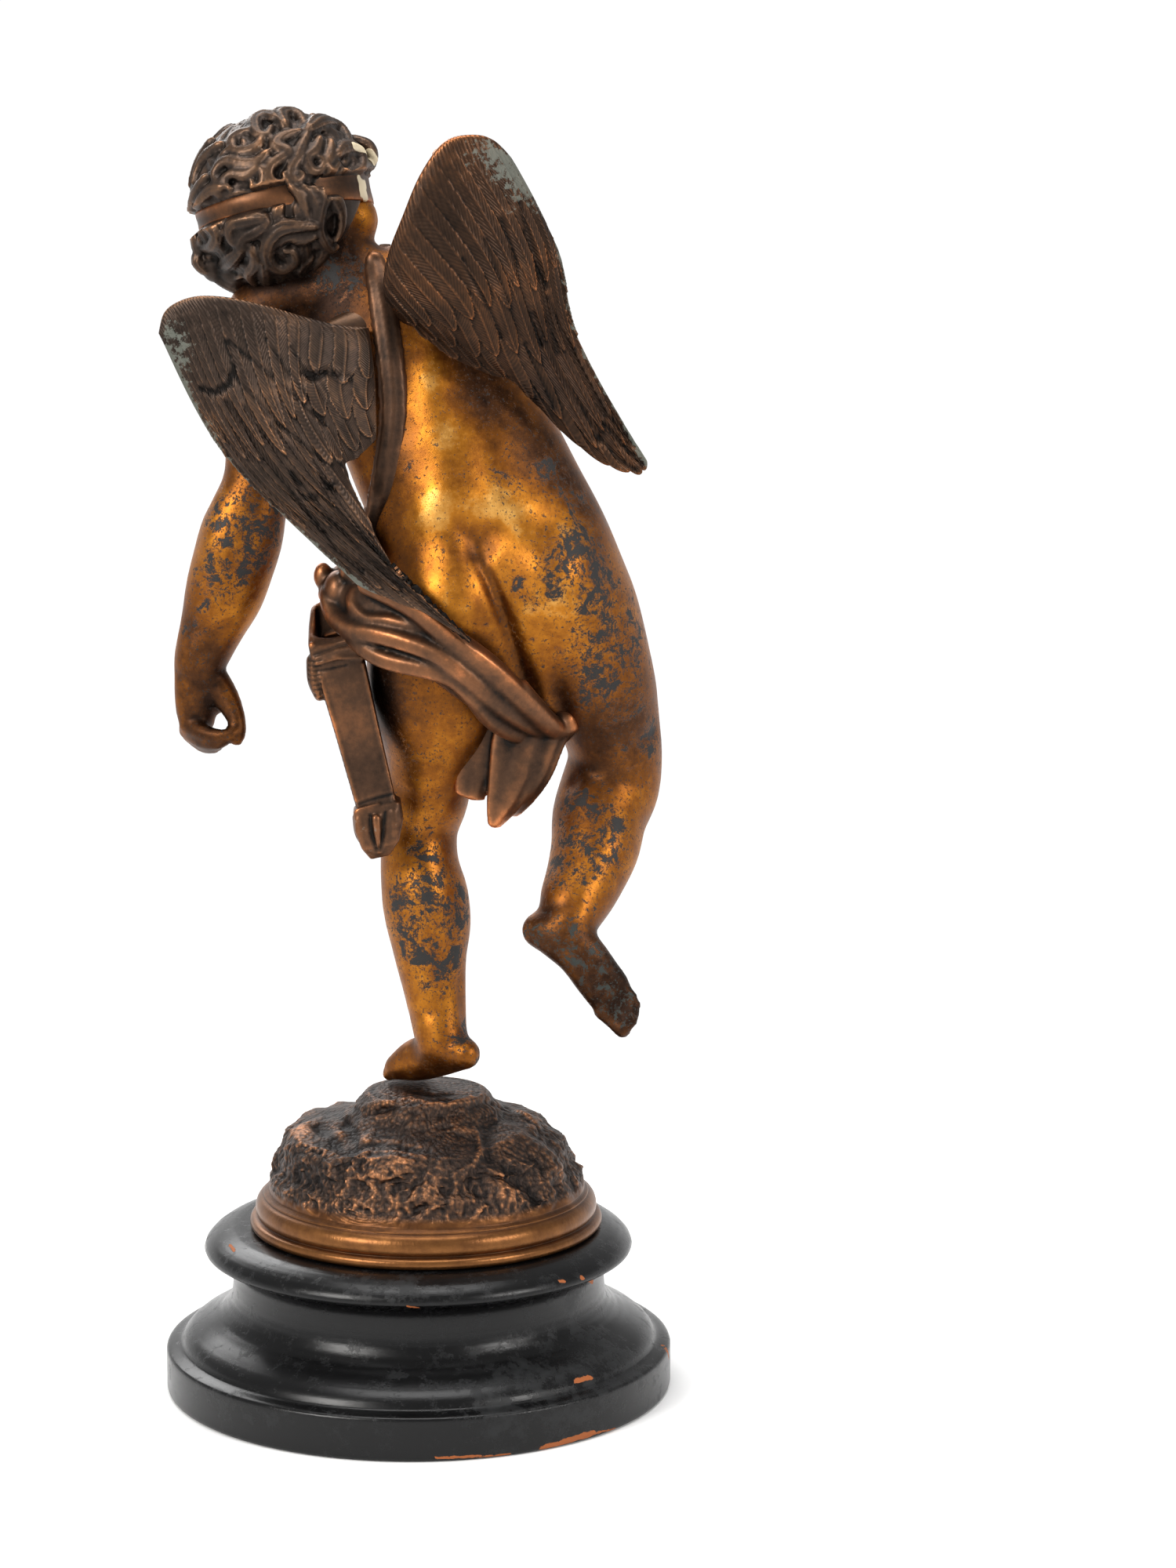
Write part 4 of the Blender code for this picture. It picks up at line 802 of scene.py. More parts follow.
def add_head(shape):
    """A child's round head: skull, full cheeks, small nose, lips and chin."""
    turn = [a * 180 / pi for a in head_axes().to_euler()]
    ball(shape, HEAD_CENTRE, HEAD_RADII, turn)
    ball(shape, on_head(0, 7, -9), (15.5, 15.5, 15), turn)
    for side in (-1, 1):
        ball(shape, on_head(side * 10.5, 14, -9.5), (8.4, 8.4, 8.6), turn)
        ball(shape, on_head(side * 20, 1, -6), (2.4, 4.2, 6), turn)
    ball(shape, on_head(0, 20, -19.5), (5.2, 4.6, 4.6), turn)
    ball(shape, on_head(0, 22.6, -13.0), (4.4, 2.4, 1.3), turn)
    ball(shape, on_head(0, 22.2, -15.4), (3.6, 2.4, 1.5), turn)
    limb(shape, [(*on_head(0, 22, 1), 1.7), (*on_head(0, 24, -4), 1.9),
                 (*on_head(0, 25.6, -8.4), 2.7)], sides=16, across=(0, 0.3, 1))


def even_out_back(mesh):
    """The back and loins are full and soft: no seam shows between their forms."""
    places = read_places(mesh)
    height = (places[:, 2] - POSE_ORIGIN.z) / UNIT
    share = np.clip((height - BACK_FROM) / BACK_BLEND, 0, 1)
    share *= np.clip((BACK_TO - height) / BACK_BLEND, 0, 1)
    share *= np.clip((places[:, 0] / UNIT - ARM_SIDE) / BACK_BLEND, 0, 1)
    even = smooth_over(places, read_links(mesh), len(places), BACK_ROUNDS)
    move_places(mesh, places + (even - places) * share[:, None])


shape = bmesh.new()
for rows in (TORSO, LEFT_LEG, RIGHT_LEG, LEFT_ARM, SHOULDERS):
    limb(shape, rows)
limb(shape, RIGHT_ARM, across=(1, 0, 0))
limb(shape, LEFT_FOOT, across=(0, 0, 1))
limb(shape, RIGHT_FOOT)
for centre, radii in FULL_FORMS:
    ball(shape, centre, radii)
add_head(shape)
flesh = cast("flesh", shape, SKIN_GRAIN, 18)
even_out_back(flesh)
flesh_sight = surface_of(flesh)
for width, depth, *path in FLESH_FORMS:
    carve(flesh, seen_path(flesh_sight, path), width, depth)
shape = bmesh.new()
shape.from_mesh(flesh)
for rows in LEFT_FINGERS + RIGHT_FINGERS:
    limb(shape, rows, sides=14, steps=4, across=(0.6, 0.6, 0.5))
for side, reach, thick in STANDING_TOES:
    root = BALL_OF_FOOT + TOE_INNER * side - TOE_AHEAD * 2
    tip = root + TOE_AHEAD * reach - Vector((0, 0, TOE_LEVEL - thick))
    limb(shape, [(*root, thick), (*((root + tip) / 2 + Vector((0, 0, 0.6))), thick),
                 (*tip, thick)], sides=14, steps=3, across=(0, 0, 1))
for toe in RAISED_TOES:
    limb(shape, toe, sides=14, steps=4)
limb(shape, PALM, sides=20, steps=4)
body_mesh = cast("body", shape, SKIN_GRAIN, 3)
body_sight = surface_of(body_mesh)

# Where the gilding is bright or rubbed brown, and where highlights and shade are painted
# into it: across and down the photograph, reach in millimetres and strength. Then where it
# is scabbed dark, in the same way.
GILT_AND_PAINTED_LIGHT = [
    # Painted highlights: the lumbar spots at (575, 560), (552, 480) and (530, 430), and the dimple spots
    # at (555, 650), (640, 645) and (722, 665).
    (555, 650, 9, 0.40), (600, 610, 14, 0.14), (640, 645, 9, 0.30), (575, 560, 7, 0.34),
    (552, 480, 6, 0.26), (530, 430, 5, 0.26), (722, 665, 7, 0.20), (720, 790, 18, 0.06),
    (615, 500, 9, -0.26), (620, 560, 12, -0.10), (660, 600, 10, -0.10), (600, 700, 7, -0.10),
    (640, 780, 8, -0.06), (650, 690, 9, 0.16), (620, 840, 10, -0.08), (700, 850, 14, 0.04),
    (740, 720, 14, 0.04), (570, 760, 12, 0.10), (540, 960, 12, 0.04), (545, 1100, 12, 0.16),
    (575, 1180, 10, -0.04), (560, 1330, 10, 0.0), (470, 310, 8, 0.0), (440, 310, 6, -0.2),
    (690, 570, 12, -0.26), (730, 620, 14, -0.20), (800, 720, 14, -0.12), (820, 900, 16, -0.20),
    (790, 960, 16, -0.16), (740, 930, 12, -0.16), (360, 360, 14, -0.60), (420, 370, 14, -0.50),
    (470, 480, 10, -0.2), (520, 640, 9, -0.16), (500, 560, 8, -0.22), (530, 700, 10, -0.10),
    (300, 560, 14, -0.06), (350, 640, 10, -0.10), (250, 640, 10, -0.12), (240, 780, 10, -0.22),
    (262, 850, 12, -0.36), (262, 930, 14, -0.46), (690, 1190, 12, -0.36), (760, 1240, 14, -0.40),
    # Painted shade: the thigh's edge beside the quiver, at (484, 880) and (486, 930).
    (800, 1290, 12, -0.40), (520, 860, 10, -0.10), (484, 880, 9, -0.50), (486, 930, 8, -0.40),
    (500, 990, 9, -0.06), (640, 440, 16, -0.36),
    # Painted shade: the standing foot where it meets the mound, at (540, 1370).
    (540, 1370, 14, -0.16), (620, 1000, 8, -0.20), (650, 880, 7, -0.12), (600, 1290, 8, -0.12),
]
SCABS = [
    (760, 740, 11, 1.0), (800, 800, 12, 1.0), (790, 880, 12, 0.9), (740, 700, 9, 0.7),
    (830, 940, 10, 0.8), (760, 850, 10, 0.6), (740, 1040, 12, 1.0), (780, 1080, 10, 0.9),
    (720, 1110, 9, 0.8), (550, 1130, 11, 1.0), (520, 1180, 10, 0.9), (580, 1170, 10, 0.9),
    (540, 1050, 8, 0.5), (560, 1230, 10, 0.8), (590, 1320, 8, 0.5), (300, 660, 11, 0.9),
    (330, 700, 9, 0.9), (270, 740, 9, 0.8), (350, 630, 7, 0.8), (240, 800, 8, 0.6),
    (730, 1200, 8, 0.5), (770, 1240, 9, 0.6), (800, 1300, 8, 0.6), (676, 1186, 7, 0.6),
    (700, 600, 8, 0.6), (640, 620, 7, 0.6), (740, 640, 8, 0.6), (500, 440, 8, 0.5),
    (420, 350, 9, 0.7), (455, 345, 6, 0.7), (600, 1330, 8, 0.6), (680, 760, 6, 0.4),
    (692, 706, 6, 0.5), (650, 740, 5, 0.4), (700, 750, 5, 0.3),
    (480, 1010, 6, 0.4), (525, 960, 5, 0.5), (620, 1120, 8, 0.5), (560, 690, 5, 0.3),
]


def spread_on(sight, places, spots, start):
    """A value over a surface, raised or lowered round the spots that the photograph shows."""
    out = np.full(len(places), start)
    for across, down, reach, strength in spots:
        spot = seen_on(sight, across, down)
        if spot:
            gap = np.linalg.norm(places - np.array(spot), axis=1) * 1000 / reach
            out += strength * np.exp(-gap ** 2)
    return np.clip(out, 0, 1)


body_places = read_places(body_mesh)
write_mark(body_mesh, "gilt_and_painted_light", spread_on(body_sight, body_places, GILT_AND_PAINTED_LIGHT, 0.47))
write_mark(body_mesh, "scabbed", spread_on(body_sight, body_places, SCABS, 0.18))
write_mark(body_mesh, "green", spread_on(body_sight, body_places,
                                         [(700, 1200, 12, 0.8), (780, 1270, 14, 0.8)], 0.0))
mark_crests(body_mesh, "crest", 30, 0.35)

skin = Finish("gilt_bronze", Metallic=1.0)
cloud = skin.grain(24.0, detail=5, roughness=0.55)
fine = skin.grain(4.0, detail=8, roughness=0.70)
ragged = skin.grain(6.0, detail=12, roughness=0.80, warp=0.4)
flecks = skin.grain(2.4, detail=7, roughness=0.74)
pores = skin.grain(0.9, detail=4, roughness=0.75)
gilt_and_light = (skin.mark("gilt_and_painted_light") + (cloud - 0.5) * 0.80 + (fine - 0.5) * 0.75
        + skin.mark("crest") * 0.12).held()
gilt_and_light_colour = skin.node("ValToRGB", {"Fac": gilt_and_light}, stops=[
    (0.0, (0.024, 0.013, 0.009, 1)), (0.22, (0.080, 0.032, 0.013, 1)),
    (0.48, (0.225, 0.076, 0.013, 1)), (0.72, (0.43, 0.160, 0.018, 1)),
    (1.0, (0.72, 0.38, 0.095, 1))])
scabbed = skin.mark("scabbed")
scabs = (ragged + (scabbed - 0.5) * 0.17 + skin.mark("green") * 0.03).clear(0.590, 0.612)
dots = (flecks + (scabbed - 0.5) * 0.12).clear(0.625, 0.645)
pits = (pores + (scabbed - 0.5) * 0.06 + (fine - 0.5) * 0.35).clear(0.570, 0.63) * 0.85
worn = (scabs + dots + pits).held()
slate = skin.blend(skin.mark("green"), (0.020, 0.018, 0.017), (0.030, 0.037, 0.032))
copper_rim = (ragged + (scabbed - 0.5) * 0.17).clear(0.555, 0.585) * (1 - worn)
skin.shade(Base_Color=skin.blend(worn, skin.blend(copper_rim * 0.5, gilt_and_light_colour,
                                                  (0.22, 0.090, 0.040)), slate),
           Metallic=1 - worn * 0.55,
           Roughness=0.38 + (1 - gilt_and_light) * 0.10 + worn * 0.14 + (fine - 0.5) * 0.30)
skin.relief(fine * 0.6 - worn * 0.7 + pores * 0.45, 0.16, 0.65)
add_piece("body", body_mesh, "cupid_figure", "gilt_bronze", skin)


# The hair is modelled in flat locks, each cut into fine strands that end in a curl, over
# a mass of shorter ones. A cloth band is tied over the eyes and pressed into it behind.

HAIR_GRAIN = 0.00051
HAIR_MASS = 1.2
HAIR_LIFT = 2.6
LOCK_SIDES = 40
STRANDS, STRAND_DEPTH = 9, 0.15
BAND_TURNS, BAND_SIDES = 240, 16
BAND_HALF_BACK, BAND_HALF_FRONT, BAND_THICK = 2.5, 5.6, 1.3
TUFT_FROM, TUFT_TO, TUFT_FREE = 60, 84, 9.0
PRESSED_TO, PRESS_SLOPE = 1.035, 0.10
LOCKS = [
    (2.6, (69, 55), (58, 65), (46, 58), (49, 44), (56, 40), (62, 47)),
    (2.8, (73, 46), (77, 61), (98, 65), (100, 57), (92, 46)),
    (3.0, (90, 38), (111, 46), (139, 45), (138, 36), (121, 23)),
    (2.4, (142, 29), (143, 22, 5), (144, 16, 5), (145, 11, 3), (127, 10), (133, 16)),
    (2.2, (101, 17), (112, 22), (127, 22), (132, 15), (122, 7), (110, 3), (104, 6)),
    (1.9, (82, 38), (69, 37), (61, 31), (68, 24), (55, 17), (53, 10), (56, 5), (62, 5), (62, 10)),
    (1.9, (86, 34), (78, 26), (73, 19), (68, 13), (66, 7), (69, 4), (73, 7), (70, 10)),
    (1.9, (94, 30), (86, 22), (79, 18), (79, 10), (84, 8), (89, 13), (87, 17)),
    (1.8, (102, 27), (97, 18), (91, 12), (94, 7), (100, 11)),
    (1.9, (43, 48), (31, 48), (25, 43), (30, 35), (38, 34), (37, 41)),
    (1.8, (52, 37), (46, 32), (36, 32), (25, 36), (18, 32)),
    (1.9, (54, 26), (46, 21), (36, 23), (25, 28), (17, 26), (14, 20), (19, 15), (23, 18)),
    (1.7, (47, 17), (38, 15), (29, 18), (23, 15), (26, 9)),
    (1.7, (50, 16), (50, 10), (47, 5), (42, 6), (42, 10)),
    (2.0, (13, 43), (-5, 39), (-12, 32), (-14, 22)),
    (2.0, (-13, 51), (-24, 42), (-26, 33), (-28, 22)),
    (1.9, (21, 11), (11, 12), (-2, 8), (-14, 3)),
    (1.9, (6, 21), (-4, 16), (-15, 11), (-30, 6)),
    (1.7, (65, 0), (69, -6), (70, -13), (71, -21)),
    (1.7, (72, -1), (76, -7), (77, -15), (73, -23)),
    (1.8, (78, -3), (83, -9), (80, -18), (78, -28), (82, -38), (91, -46), (96, -43)),
    (1.9, (85, -5), (92, -12), (96, -21), (96, -31), (93, -38)),
    (2.4, (43, -14), (33, -13), (23, -13), (17, -18), (17, -25), (26, -28)),
    (2.2, (44, -18), (37, -21), (26, -23), (16, -31), (-5, -37), (-36, -36)),
    (2.4, (74, -26), (62, -24), (52, -24), (43, -29), (36, -38), (35, -49), (44, -54), (56, -49),
     (56, -41), (51, -39)),
    (1.8, (74, -33), (65, -34), (56, -31), (48, -34)),
    (2.4, (-6, -6), (3, -10), (5, -17), (-7, -22), (-29, -19), (-20, -14)),
    (2.6, (-32, -8, 2), (-32, -13, 3), (-33, -19, 4), (-34, -24, 3), (-26, -26)),
    (2.6, (-33, -21, 4), (-34, -24, 6), (-34, -30, 6), (-35, -34, 4), (-35, -34, 2)),
    (2.2, (21, -30), (2, -35), (-36, -37), (-37, -44, 3), (-7, -48)),
    (2.0, (28, -32), (22, -43), (3, -50), (-19, -62), (-47, -69, 3)),
    (2.0, (31, -42), (22, -53), (-16, -67), (-48, -70, 5)),
    (2.4, (-36, -39, 5), (-38, -46, 5), (-40, -55, 5), (-42, -62, 6), (-46, -69, 7)),
    (2.4, (178, 34), (168, 44), (160, 52), (150, 60)),
    (2.2, (196, 30), (186, 42), (178, 52), (172, 64)),
    (2.2, (170, 22), (160, 28), (152, 34), (158, 42)),
]
MIRRORED_FROM = 38
# Rows of short locks below the long ones: how high they start, how far apart they stand,
# how many degrees they fall, and how thick they are.
UNDER_ROWS = [
    (84, 60, 26, 2.2), (66, 24, 26, 2.2), (50, 18, 24, 2.1), (34, 15, 20, 2.0), (20, 14, 14, 1.8),
    (-8, 14, 18, 2.0), (-22, 15, 20, 2.2), (-36, 18, 22, 2.2), (-52, 24, 22, 2.2),
]
UNDER_LIFT = 0.7
GAP_BEHIND = (-57.0, 14, 240.8)
FILLER_PATHS = [
    [(452, 186), (462, 189), (472, 196), (478, 206), (476, 222), (471, 238), (468, 254)],
]
FILLER_WIDTH, FILLER_THICK = 1.1, 0.35
FILLER_ON_BAND = [(458, 230), (465, 236), (461, 246), (467, 253)]


def lock_of_hair(shape, thick, stations, side=1, lift=HAIR_LIFT):
    """A flat lock fluted into strands, broad at the root and round where it curls in."""
    rows = []
    for k, station in enumerate(stations):
        turn, rise, high = (*station, lift)[:3]
        share = k / (len(stations) - 1)
        broad = thick * 1.30 * min(1, 0.50 + 2.4 * share) * (1 - 0.70 * share)
        rows.append((*on_skull(side * turn, rise, high), broad,
                     thick * 0.84 * (1 - 0.42 * share)))
    curve = smooth_rows(rows, 7)
    centre = Vector(HEAD_CENTRE)
    rings = []
    for k, row in enumerate(curve):
        here = Vector(row[:3])
        ahead = Vector(curve[min(k + 1, len(curve) - 1)][:3]) - Vector(curve[max(k - 1, 0)][:3])
        ahead.normalize()
        out = (here - centre).normalized()
        beside = ahead.cross(out).normalized()
        out = beside.cross(ahead).normalized()
        ends = {0: [(-1.0, 0.0), (-0.8, 0.6)], len(curve) - 1: [(0.6, 0.75), (1.0, 0.0)]}.get(k)
        steps = [(0.0, 1.0)]
        if ends:
            steps = ends + steps if k == 0 else steps + ends
        for shift, share in steps:
            ring = []
            for n in range(LOCK_SIDES):
                a = 2 * pi * n / LOCK_SIDES
                reach = share * (1 + STRAND_DEPTH * cos(STRANDS * a))
                ring.append(shape.verts.new(pose_point(*(
                    here + ahead * (shift * row[4]) + beside * (row[3] * reach * cos(a))
                    + out * (row[4] * reach * sin(a))))))
            rings.append(ring)
    skin_over(shape, rings)


shape = bmesh.new()
turn = [a * 180 / pi for a in head_axes().to_euler()]
ball(shape, HEAD_CENTRE, [r + HAIR_MASS for r in HEAD_RADII], turn)
face_side = pose_point(*HEAD_CENTRE) + head_axes() @ Vector((0, 0.0125, -0.006))
bmesh.ops.bisect_plane(shape, geom=shape.verts[:] + shape.edges[:] + shape.faces[:],
                       plane_co=face_side, plane_no=head_axes() @ Vector((0, 0.8, -0.6)),
                       clear_outer=True)
bmesh.ops.holes_fill(shape, edges=shape.edges[:])
comb = random.Random(11)
for rise, apart, fall, thick in UNDER_ROWS:
    widest = 180 if rise > 15 else 104
    for k in range(int(2 * widest / apart)):
        start = -widest + apart * (k + comb.random() * 0.5)
        bend, drop = comb.uniform(-1, 1), fall * comb.uniform(0.9, 1.3)
        swing = 15 / max(cos(radians(rise)), 0.3)
        path = [(start + swing * bend * sin(0.9 * n) * (0.35 + 0.12 * n), rise - drop * n / 5)
                for n in range(6)]
        tip_turn, tip_rise = path[-1]
        curl = 4.4 / max(cos(radians(tip_rise)), 0.35)
        path += [(tip_turn + curl * (1 if bend > 0 else -1), tip_rise - 2.0),
                 (tip_turn + curl * (1.3 if bend > 0 else -1.3), tip_rise + 3.0)]
        lock_of_hair(shape, thick, path, lift=UNDER_LIFT + 0.7 * comb.random())
for thick, *stations in LOCKS:
    lock_of_hair(shape, thick, stations)
    if MIRRORED_FROM < stations[len(stations) // 2][0] < 150:
        lock_of_hair(shape, thick, stations, side=-1)
for centre, radii in ((on_skull(-36, -42, -1.0), (6, 6, 7)), (GAP_BEHIND, (4.5, 5, 5.5))):
    ball(shape, centre, radii)
hair_mesh = cast("hair", shape, HAIR_GRAIN, 1)


def daub(mesh, path):
    """Cream filler from an old repair, left along a path."""
    gap = distance_to_path(read_places(mesh), path) * 1000
    write_mark(mesh, "filler", np.clip(1.55 - gap / FILLER_WIDTH, 0, 1))
    carve(mesh, path, FILLER_WIDTH, -FILLER_THICK)


# The band presses the hair in, all but the tufts that fall over it.
head_middle = np.array(pose_point(*HEAD_CENTRE))
hair_places = read_places(hair_mesh)
on_axes = (hair_places - head_middle) @ np.array(head_axes()) / UNIT
swell = np.linalg.norm(on_axes / np.array(HEAD_RADII), axis=1)
round_head = np.degrees(np.arctan2(np.abs(on_axes[:, 0]), -on_axes[:, 1]))
beyond = np.maximum(0, np.abs(on_axes[:, 2] - BAND_LEVEL) - BAND_HALF_BACK)
beyond += np.where((round_head > TUFT_FROM) & (round_head < TUFT_TO), TUFT_FREE, 0.0)
pressed = np.minimum(1, (PRESSED_TO + PRESS_SLOPE * beyond) / swell)
move_places(hair_mesh, head_middle + (hair_places - head_middle) * pressed[:, None])
hair_sight = surface_of(hair_mesh)
for points in FILLER_PATHS:
    daub(hair_mesh, seen_path(hair_sight, points))
mark_crests(hair_mesh, "crest", 10, 0.30)
mark_crests(hair_mesh, "lock", 60, 1.3)


def patina(name, dark=1.0, green_share=0.75, warm=1.0, chased=False):
    """Dark brown bronze, copper where it is rubbed and grey-green where it was handled."""
    finish = Finish(name)
    cloud = finish.grain(15.0, detail=6)
    fine = finish.grain(2.2, detail=7, roughness=0.7)
    rubbed = (finish.mark("crest") * 0.30 + finish.mark("lock") * 0.20 + (cloud - 0.5) * 0.9
              + (fine - 0.5) * 0.5 + 0.38)
    cuts = 0.0
    if chased:
        arm = finish.mark("arm")
        cuts = (finish.mark("barbs") * (2 * pi)).maths("SINE", finish.mark("barbs") * (2 * pi))
        combed = finish.mark("combed") * (2 * pi)
        cuts = cuts * (1 - arm) + combed.maths("SINE", combed) * arm
        rubbed = rubbed + cuts * 0.06
    rubbed = (rubbed - finish.mark("shade") * 0.30).held()
    colour = finish.node("ValToRGB", {"Fac": rubbed}, stops=[
        (0.0, (0.010 * dark, 0.0080 * dark, 0.0068 * dark, 1)),
        (0.40, (0.046 * dark * warm, 0.032 * dark, 0.025 * dark / warm, 1)),
        (0.70, (0.115 * dark * warm, 0.066 * dark, 0.040 * dark / warm, 1)),
        (1.0, (0.36 * dark * warm, 0.17 * dark, 0.080 * dark / warm, 1))])
    green = (finish.mark("verdigris") + (fine - 0.5) * 2.2 + (cloud - 0.5) * 0.7).clear(0.52, 0.72)
    cream = finish.mark("filler").clear(0.25, 0.5)
    aged = finish.blend(green * green_share, colour, (0.125, 0.135, 0.110))
    finish.shade(Base_Color=finish.blend(cream, aged, (0.62, 0.52, 0.35)),
                 Metallic=(0.90 - green * 0.6) * (1 - cream),
                 Roughness=0.48 - rubbed * 0.10 + green * 0.15)
    finish.relief(fine * 0.5 + green * 0.4 + cuts * 0.9, 0.10, 0.5)
    return finish


hair_bronze = patina("hair_bronze")
write_mark(hair_mesh, "verdigris", np.full(len(hair_mesh.vertices), 0.10))
add_piece("hair", hair_mesh, "cupid_figure", "dark_bronze", hair_bronze)

axes = head_axes()
loops = []
for k in range(BAND_TURNS):
    a = 2 * pi * k / BAND_TURNS
    front = 0.5 - 0.5 * cos(a)
    half = BAND_HALF_BACK + (BAND_HALF_FRONT - BAND_HALF_BACK) * front
    section = []
    for n in range(BAND_SIDES):
        b = 2 * pi * n / BAND_SIDES
        out = BAND_THICK * (0.45 + 0.55 * abs(cos(b)) ** 0.5 * (1 if cos(b) > 0 else -1))
        out += 0.16 * sin(3 * b + 2 * a) * (cos(b) > 0)
        rise = half * sin(b)
        reach = Vector(((HEAD_RADII[0] + out) * sin(a), -(HEAD_RADII[1] + out) * cos(a),
                        BAND_LEVEL + rise))
        section.append(Vector(head_middle) + axes @ reach * UNIT)
    loops.append(section)
band_mesh = ring_mesh("blindfold", loops + loops[:1])
daub(band_mesh, seen_path(surface_of(band_mesh), FILLER_ON_BAND))
mark_crests(band_mesh, "crest", 6, 0.3)
mark_crests(band_mesh, "lock", 20, 0.8)
write_mark(band_mesh, "verdigris", np.zeros(len(band_mesh.vertices)))
band_bronze = patina("band_bronze", dark=0.9, warm=1.35)
add_piece("blindfold", band_mesh, "cupid_figure", "gilt_bronze", band_bronze)


# The drapery is cast with the body: a flat sash over the right shoulder, its bunch at the
# left hip, heavy folds round the loins and pleated ends that hang between the legs.

CLOTH_GRAIN = 0.00068
HIP_SHEET = [
    (-19, -7, 147, 6.0, 4), (-12, -16, 144, 7.6, 4), (-4, -22, 140.5, 8.4, 4),
    (6, -25.5, 134.5, 8.6, 4), (16, -24, 126, 8.0, 4), (26, -18, 117, 7.0, 4),
    (35, -9, 109.5, 5.0, 4), (41, -5, 106.5, 3.0, 3),
]
DRAPE_FOLDS = [
    [(-13.3, -20, 151.7, 3.8, 3.2), (-1, -26.5, 146.4, 4.4, 3.4), (10, -29, 137.1, 5, 3.6),
     (19.9, -28, 129.1, 5.2, 3.8), (28.9, -23, 119.7, 4.8, 3.8), (37.1, -14, 111.1, 4, 3.4),
     (42.2, -5, 106.2, 3.4, 3)],
    [(-22.6, 2, 150.7, 2.6), (-25, -4, 146.8, 2.7), (-22.9, -9.5, 141.3, 3.0),
     (-17.9, -16.5, 138.4, 3.2), (-11.1, -22.5, 138.0, 3.1), (-3.3, -27, 136.4, 3.0),
     (6.6, -30, 132.8, 3.0), (15, -29.5, 126.1, 3.1), (22.2, -25.5, 118.8, 3.1),
     (30.2, -18, 112.3, 3.0), (37.3, -9, 107.6, 2.7)],
    [(-20.2, -12, 138.0, 2.2), (-15, -18.5, 133.7, 2.8), (-7.8, -23.5, 130.5, 3.0),
     (3.3, -27.5, 128.4, 3.0), (11, -28, 125.6, 3.0), (16.6, -26.5, 120.1, 3.2),
     (21.1, -22, 113.6, 3.0), (26.9, -15.5, 108.6, 2.9), (33.9, -8.5, 105.6, 2.5)],
    [(-15.2, -11, 149.8, 2.6), (-17.2, -14, 145.6, 2.8), (-13.4, -19, 141.6, 2.8),
     (-6.6, -24, 141.6, 2.4), (2, -27.5, 139.4, 2.0)],
    [(30, -24.5, 122.6, 2.4), (36, -18, 114.6, 2.4), (41.5, -9.5, 107.6, 2.2)],
    [(43, -6, 110, 5), (41, 8, 114, 5), (31, 21, 124, 5.4), (16, 27, 136, 5.4),
     (2, 26, 146, 5), (-9, 17, 153, 4.4), (-17, 6, 154, 3.6), (-22.6, 2, 151, 2.6)],
    [(38, -6, 104, 4), (36, 10, 106, 4.6), (25, 21, 116, 5), (10, 26, 128, 5),
     (-2, 24, 138, 4.4), (-12, 15, 146, 3.8), (-19, 5, 149, 3)],
]
CLOTH_ENDS = [
    [(25, -7, 113, 6.4, 3.2), (20.6, -7, 106, 6.4, 2.2), (17.8, -7.5, 98, 6.0, 1.7),
     (15.8, -7.5, 91, 5.2, 1.4), (15.0, -7.5, 88.6, 4.6, 1.2)],
    [(33, -9, 113, 8, 4.2), (29.6, -10, 105, 8.2, 3.6), (27.4, -11, 95, 7.0, 3.2),
     (24.6, -11, 86.4, 4.8, 2.6), (22.6, -10, 81, 2.4, 1.8)],
    [(40, -7, 110, 5.2, 4), (37.2, -8, 103, 5.0, 3.4), (34.8, -8.4, 96, 4.6, 3),
     (31.6, -8.4, 89.5, 3.6, 2.6), (28.4, -8, 84.2, 2.2, 2)],
]
# The bunch at the hip: centre and radii.
BUNCH = [((-26.6, 2, 151.5), (2.8, 3.0, 4.0)), ((-26, 2, 146.3), (2.2, 2.4, 2.6)),
         ((-22, -4, 148), (4.5, 6, 6))]
# The sash behind, across and down the photograph, with its half width; then in front.
SASH_BEHIND = [
    (478, 338, 3.4), (484, 368, 3.6), (492, 415, 4.0), (499, 470, 4.0), (502, 525, 4.0),
    (496, 580, 3.9), (487, 630, 3.9), (476, 680, 4.0), (466, 720, 4.4),
]
SASH_THICK = 2.0
SASH_FROM, SASH_FADE = 0.246, 0.012
SASH_FOOT = [(-15.4, -12, 160, 4.6, 3.0), (-17.5, -9, 154, 4.6, 3.4)]
SASH_FRONT = [
    (-12.4, 6, 240.5, 3.4, 2), (-9.6, 13, 242.4, 3.8, 2.2), (-6.6, 18, 241.4, 4, 2.4),
    (-3, 25, 236, 4, 2.2), (-1, 31, 221, 4, 2.2), (-4, 32, 205, 4, 2.2),
    (-6, 30.5, 189, 4, 2.2), (-9, 27, 175, 4, 2.4), (-12, 16, 164, 4.4, 3),
]


shape = bmesh.new()
limb(shape, HIP_SHEET, sides=28, steps=6)
for fold in DRAPE_FOLDS:
    limb(shape, fold, sides=36, steps=6, across=(0.2, 0.3, 0.93), ridges=5, ridge_depth=0.05)
for end in CLOTH_ENDS:
    limb(shape, end, sides=40, steps=6, ridges=5, ridge_depth=0.10)
for centre, radii in BUNCH:
    ball(shape, centre, radii)
rows = [(-12.0, 2, 241.4, 3.2, 2.0)]
for across, down, half_width in SASH_BEHIND:
    spot = seen_on(body_sight, across, down)
    if spot:
        x, y, z = (spot - POSE_ORIGIN) / UNIT
        rows.append((x, y - 0.2, z, half_width, SASH_THICK))
limb(shape, rows + SASH_FOOT, sides=48, steps=6, ridges=8, ridge_depth=0.10)
limb(shape, SASH_FRONT, sides=48, steps=6, ridges=8, ridge_depth=0.10)
cloth_mesh = cast("drapery", shape, CLOTH_GRAIN, 4)
mark_crests(cloth_mesh, "crest", 16, 0.40)
mark_crests(cloth_mesh, "lock", 70, 1.2)
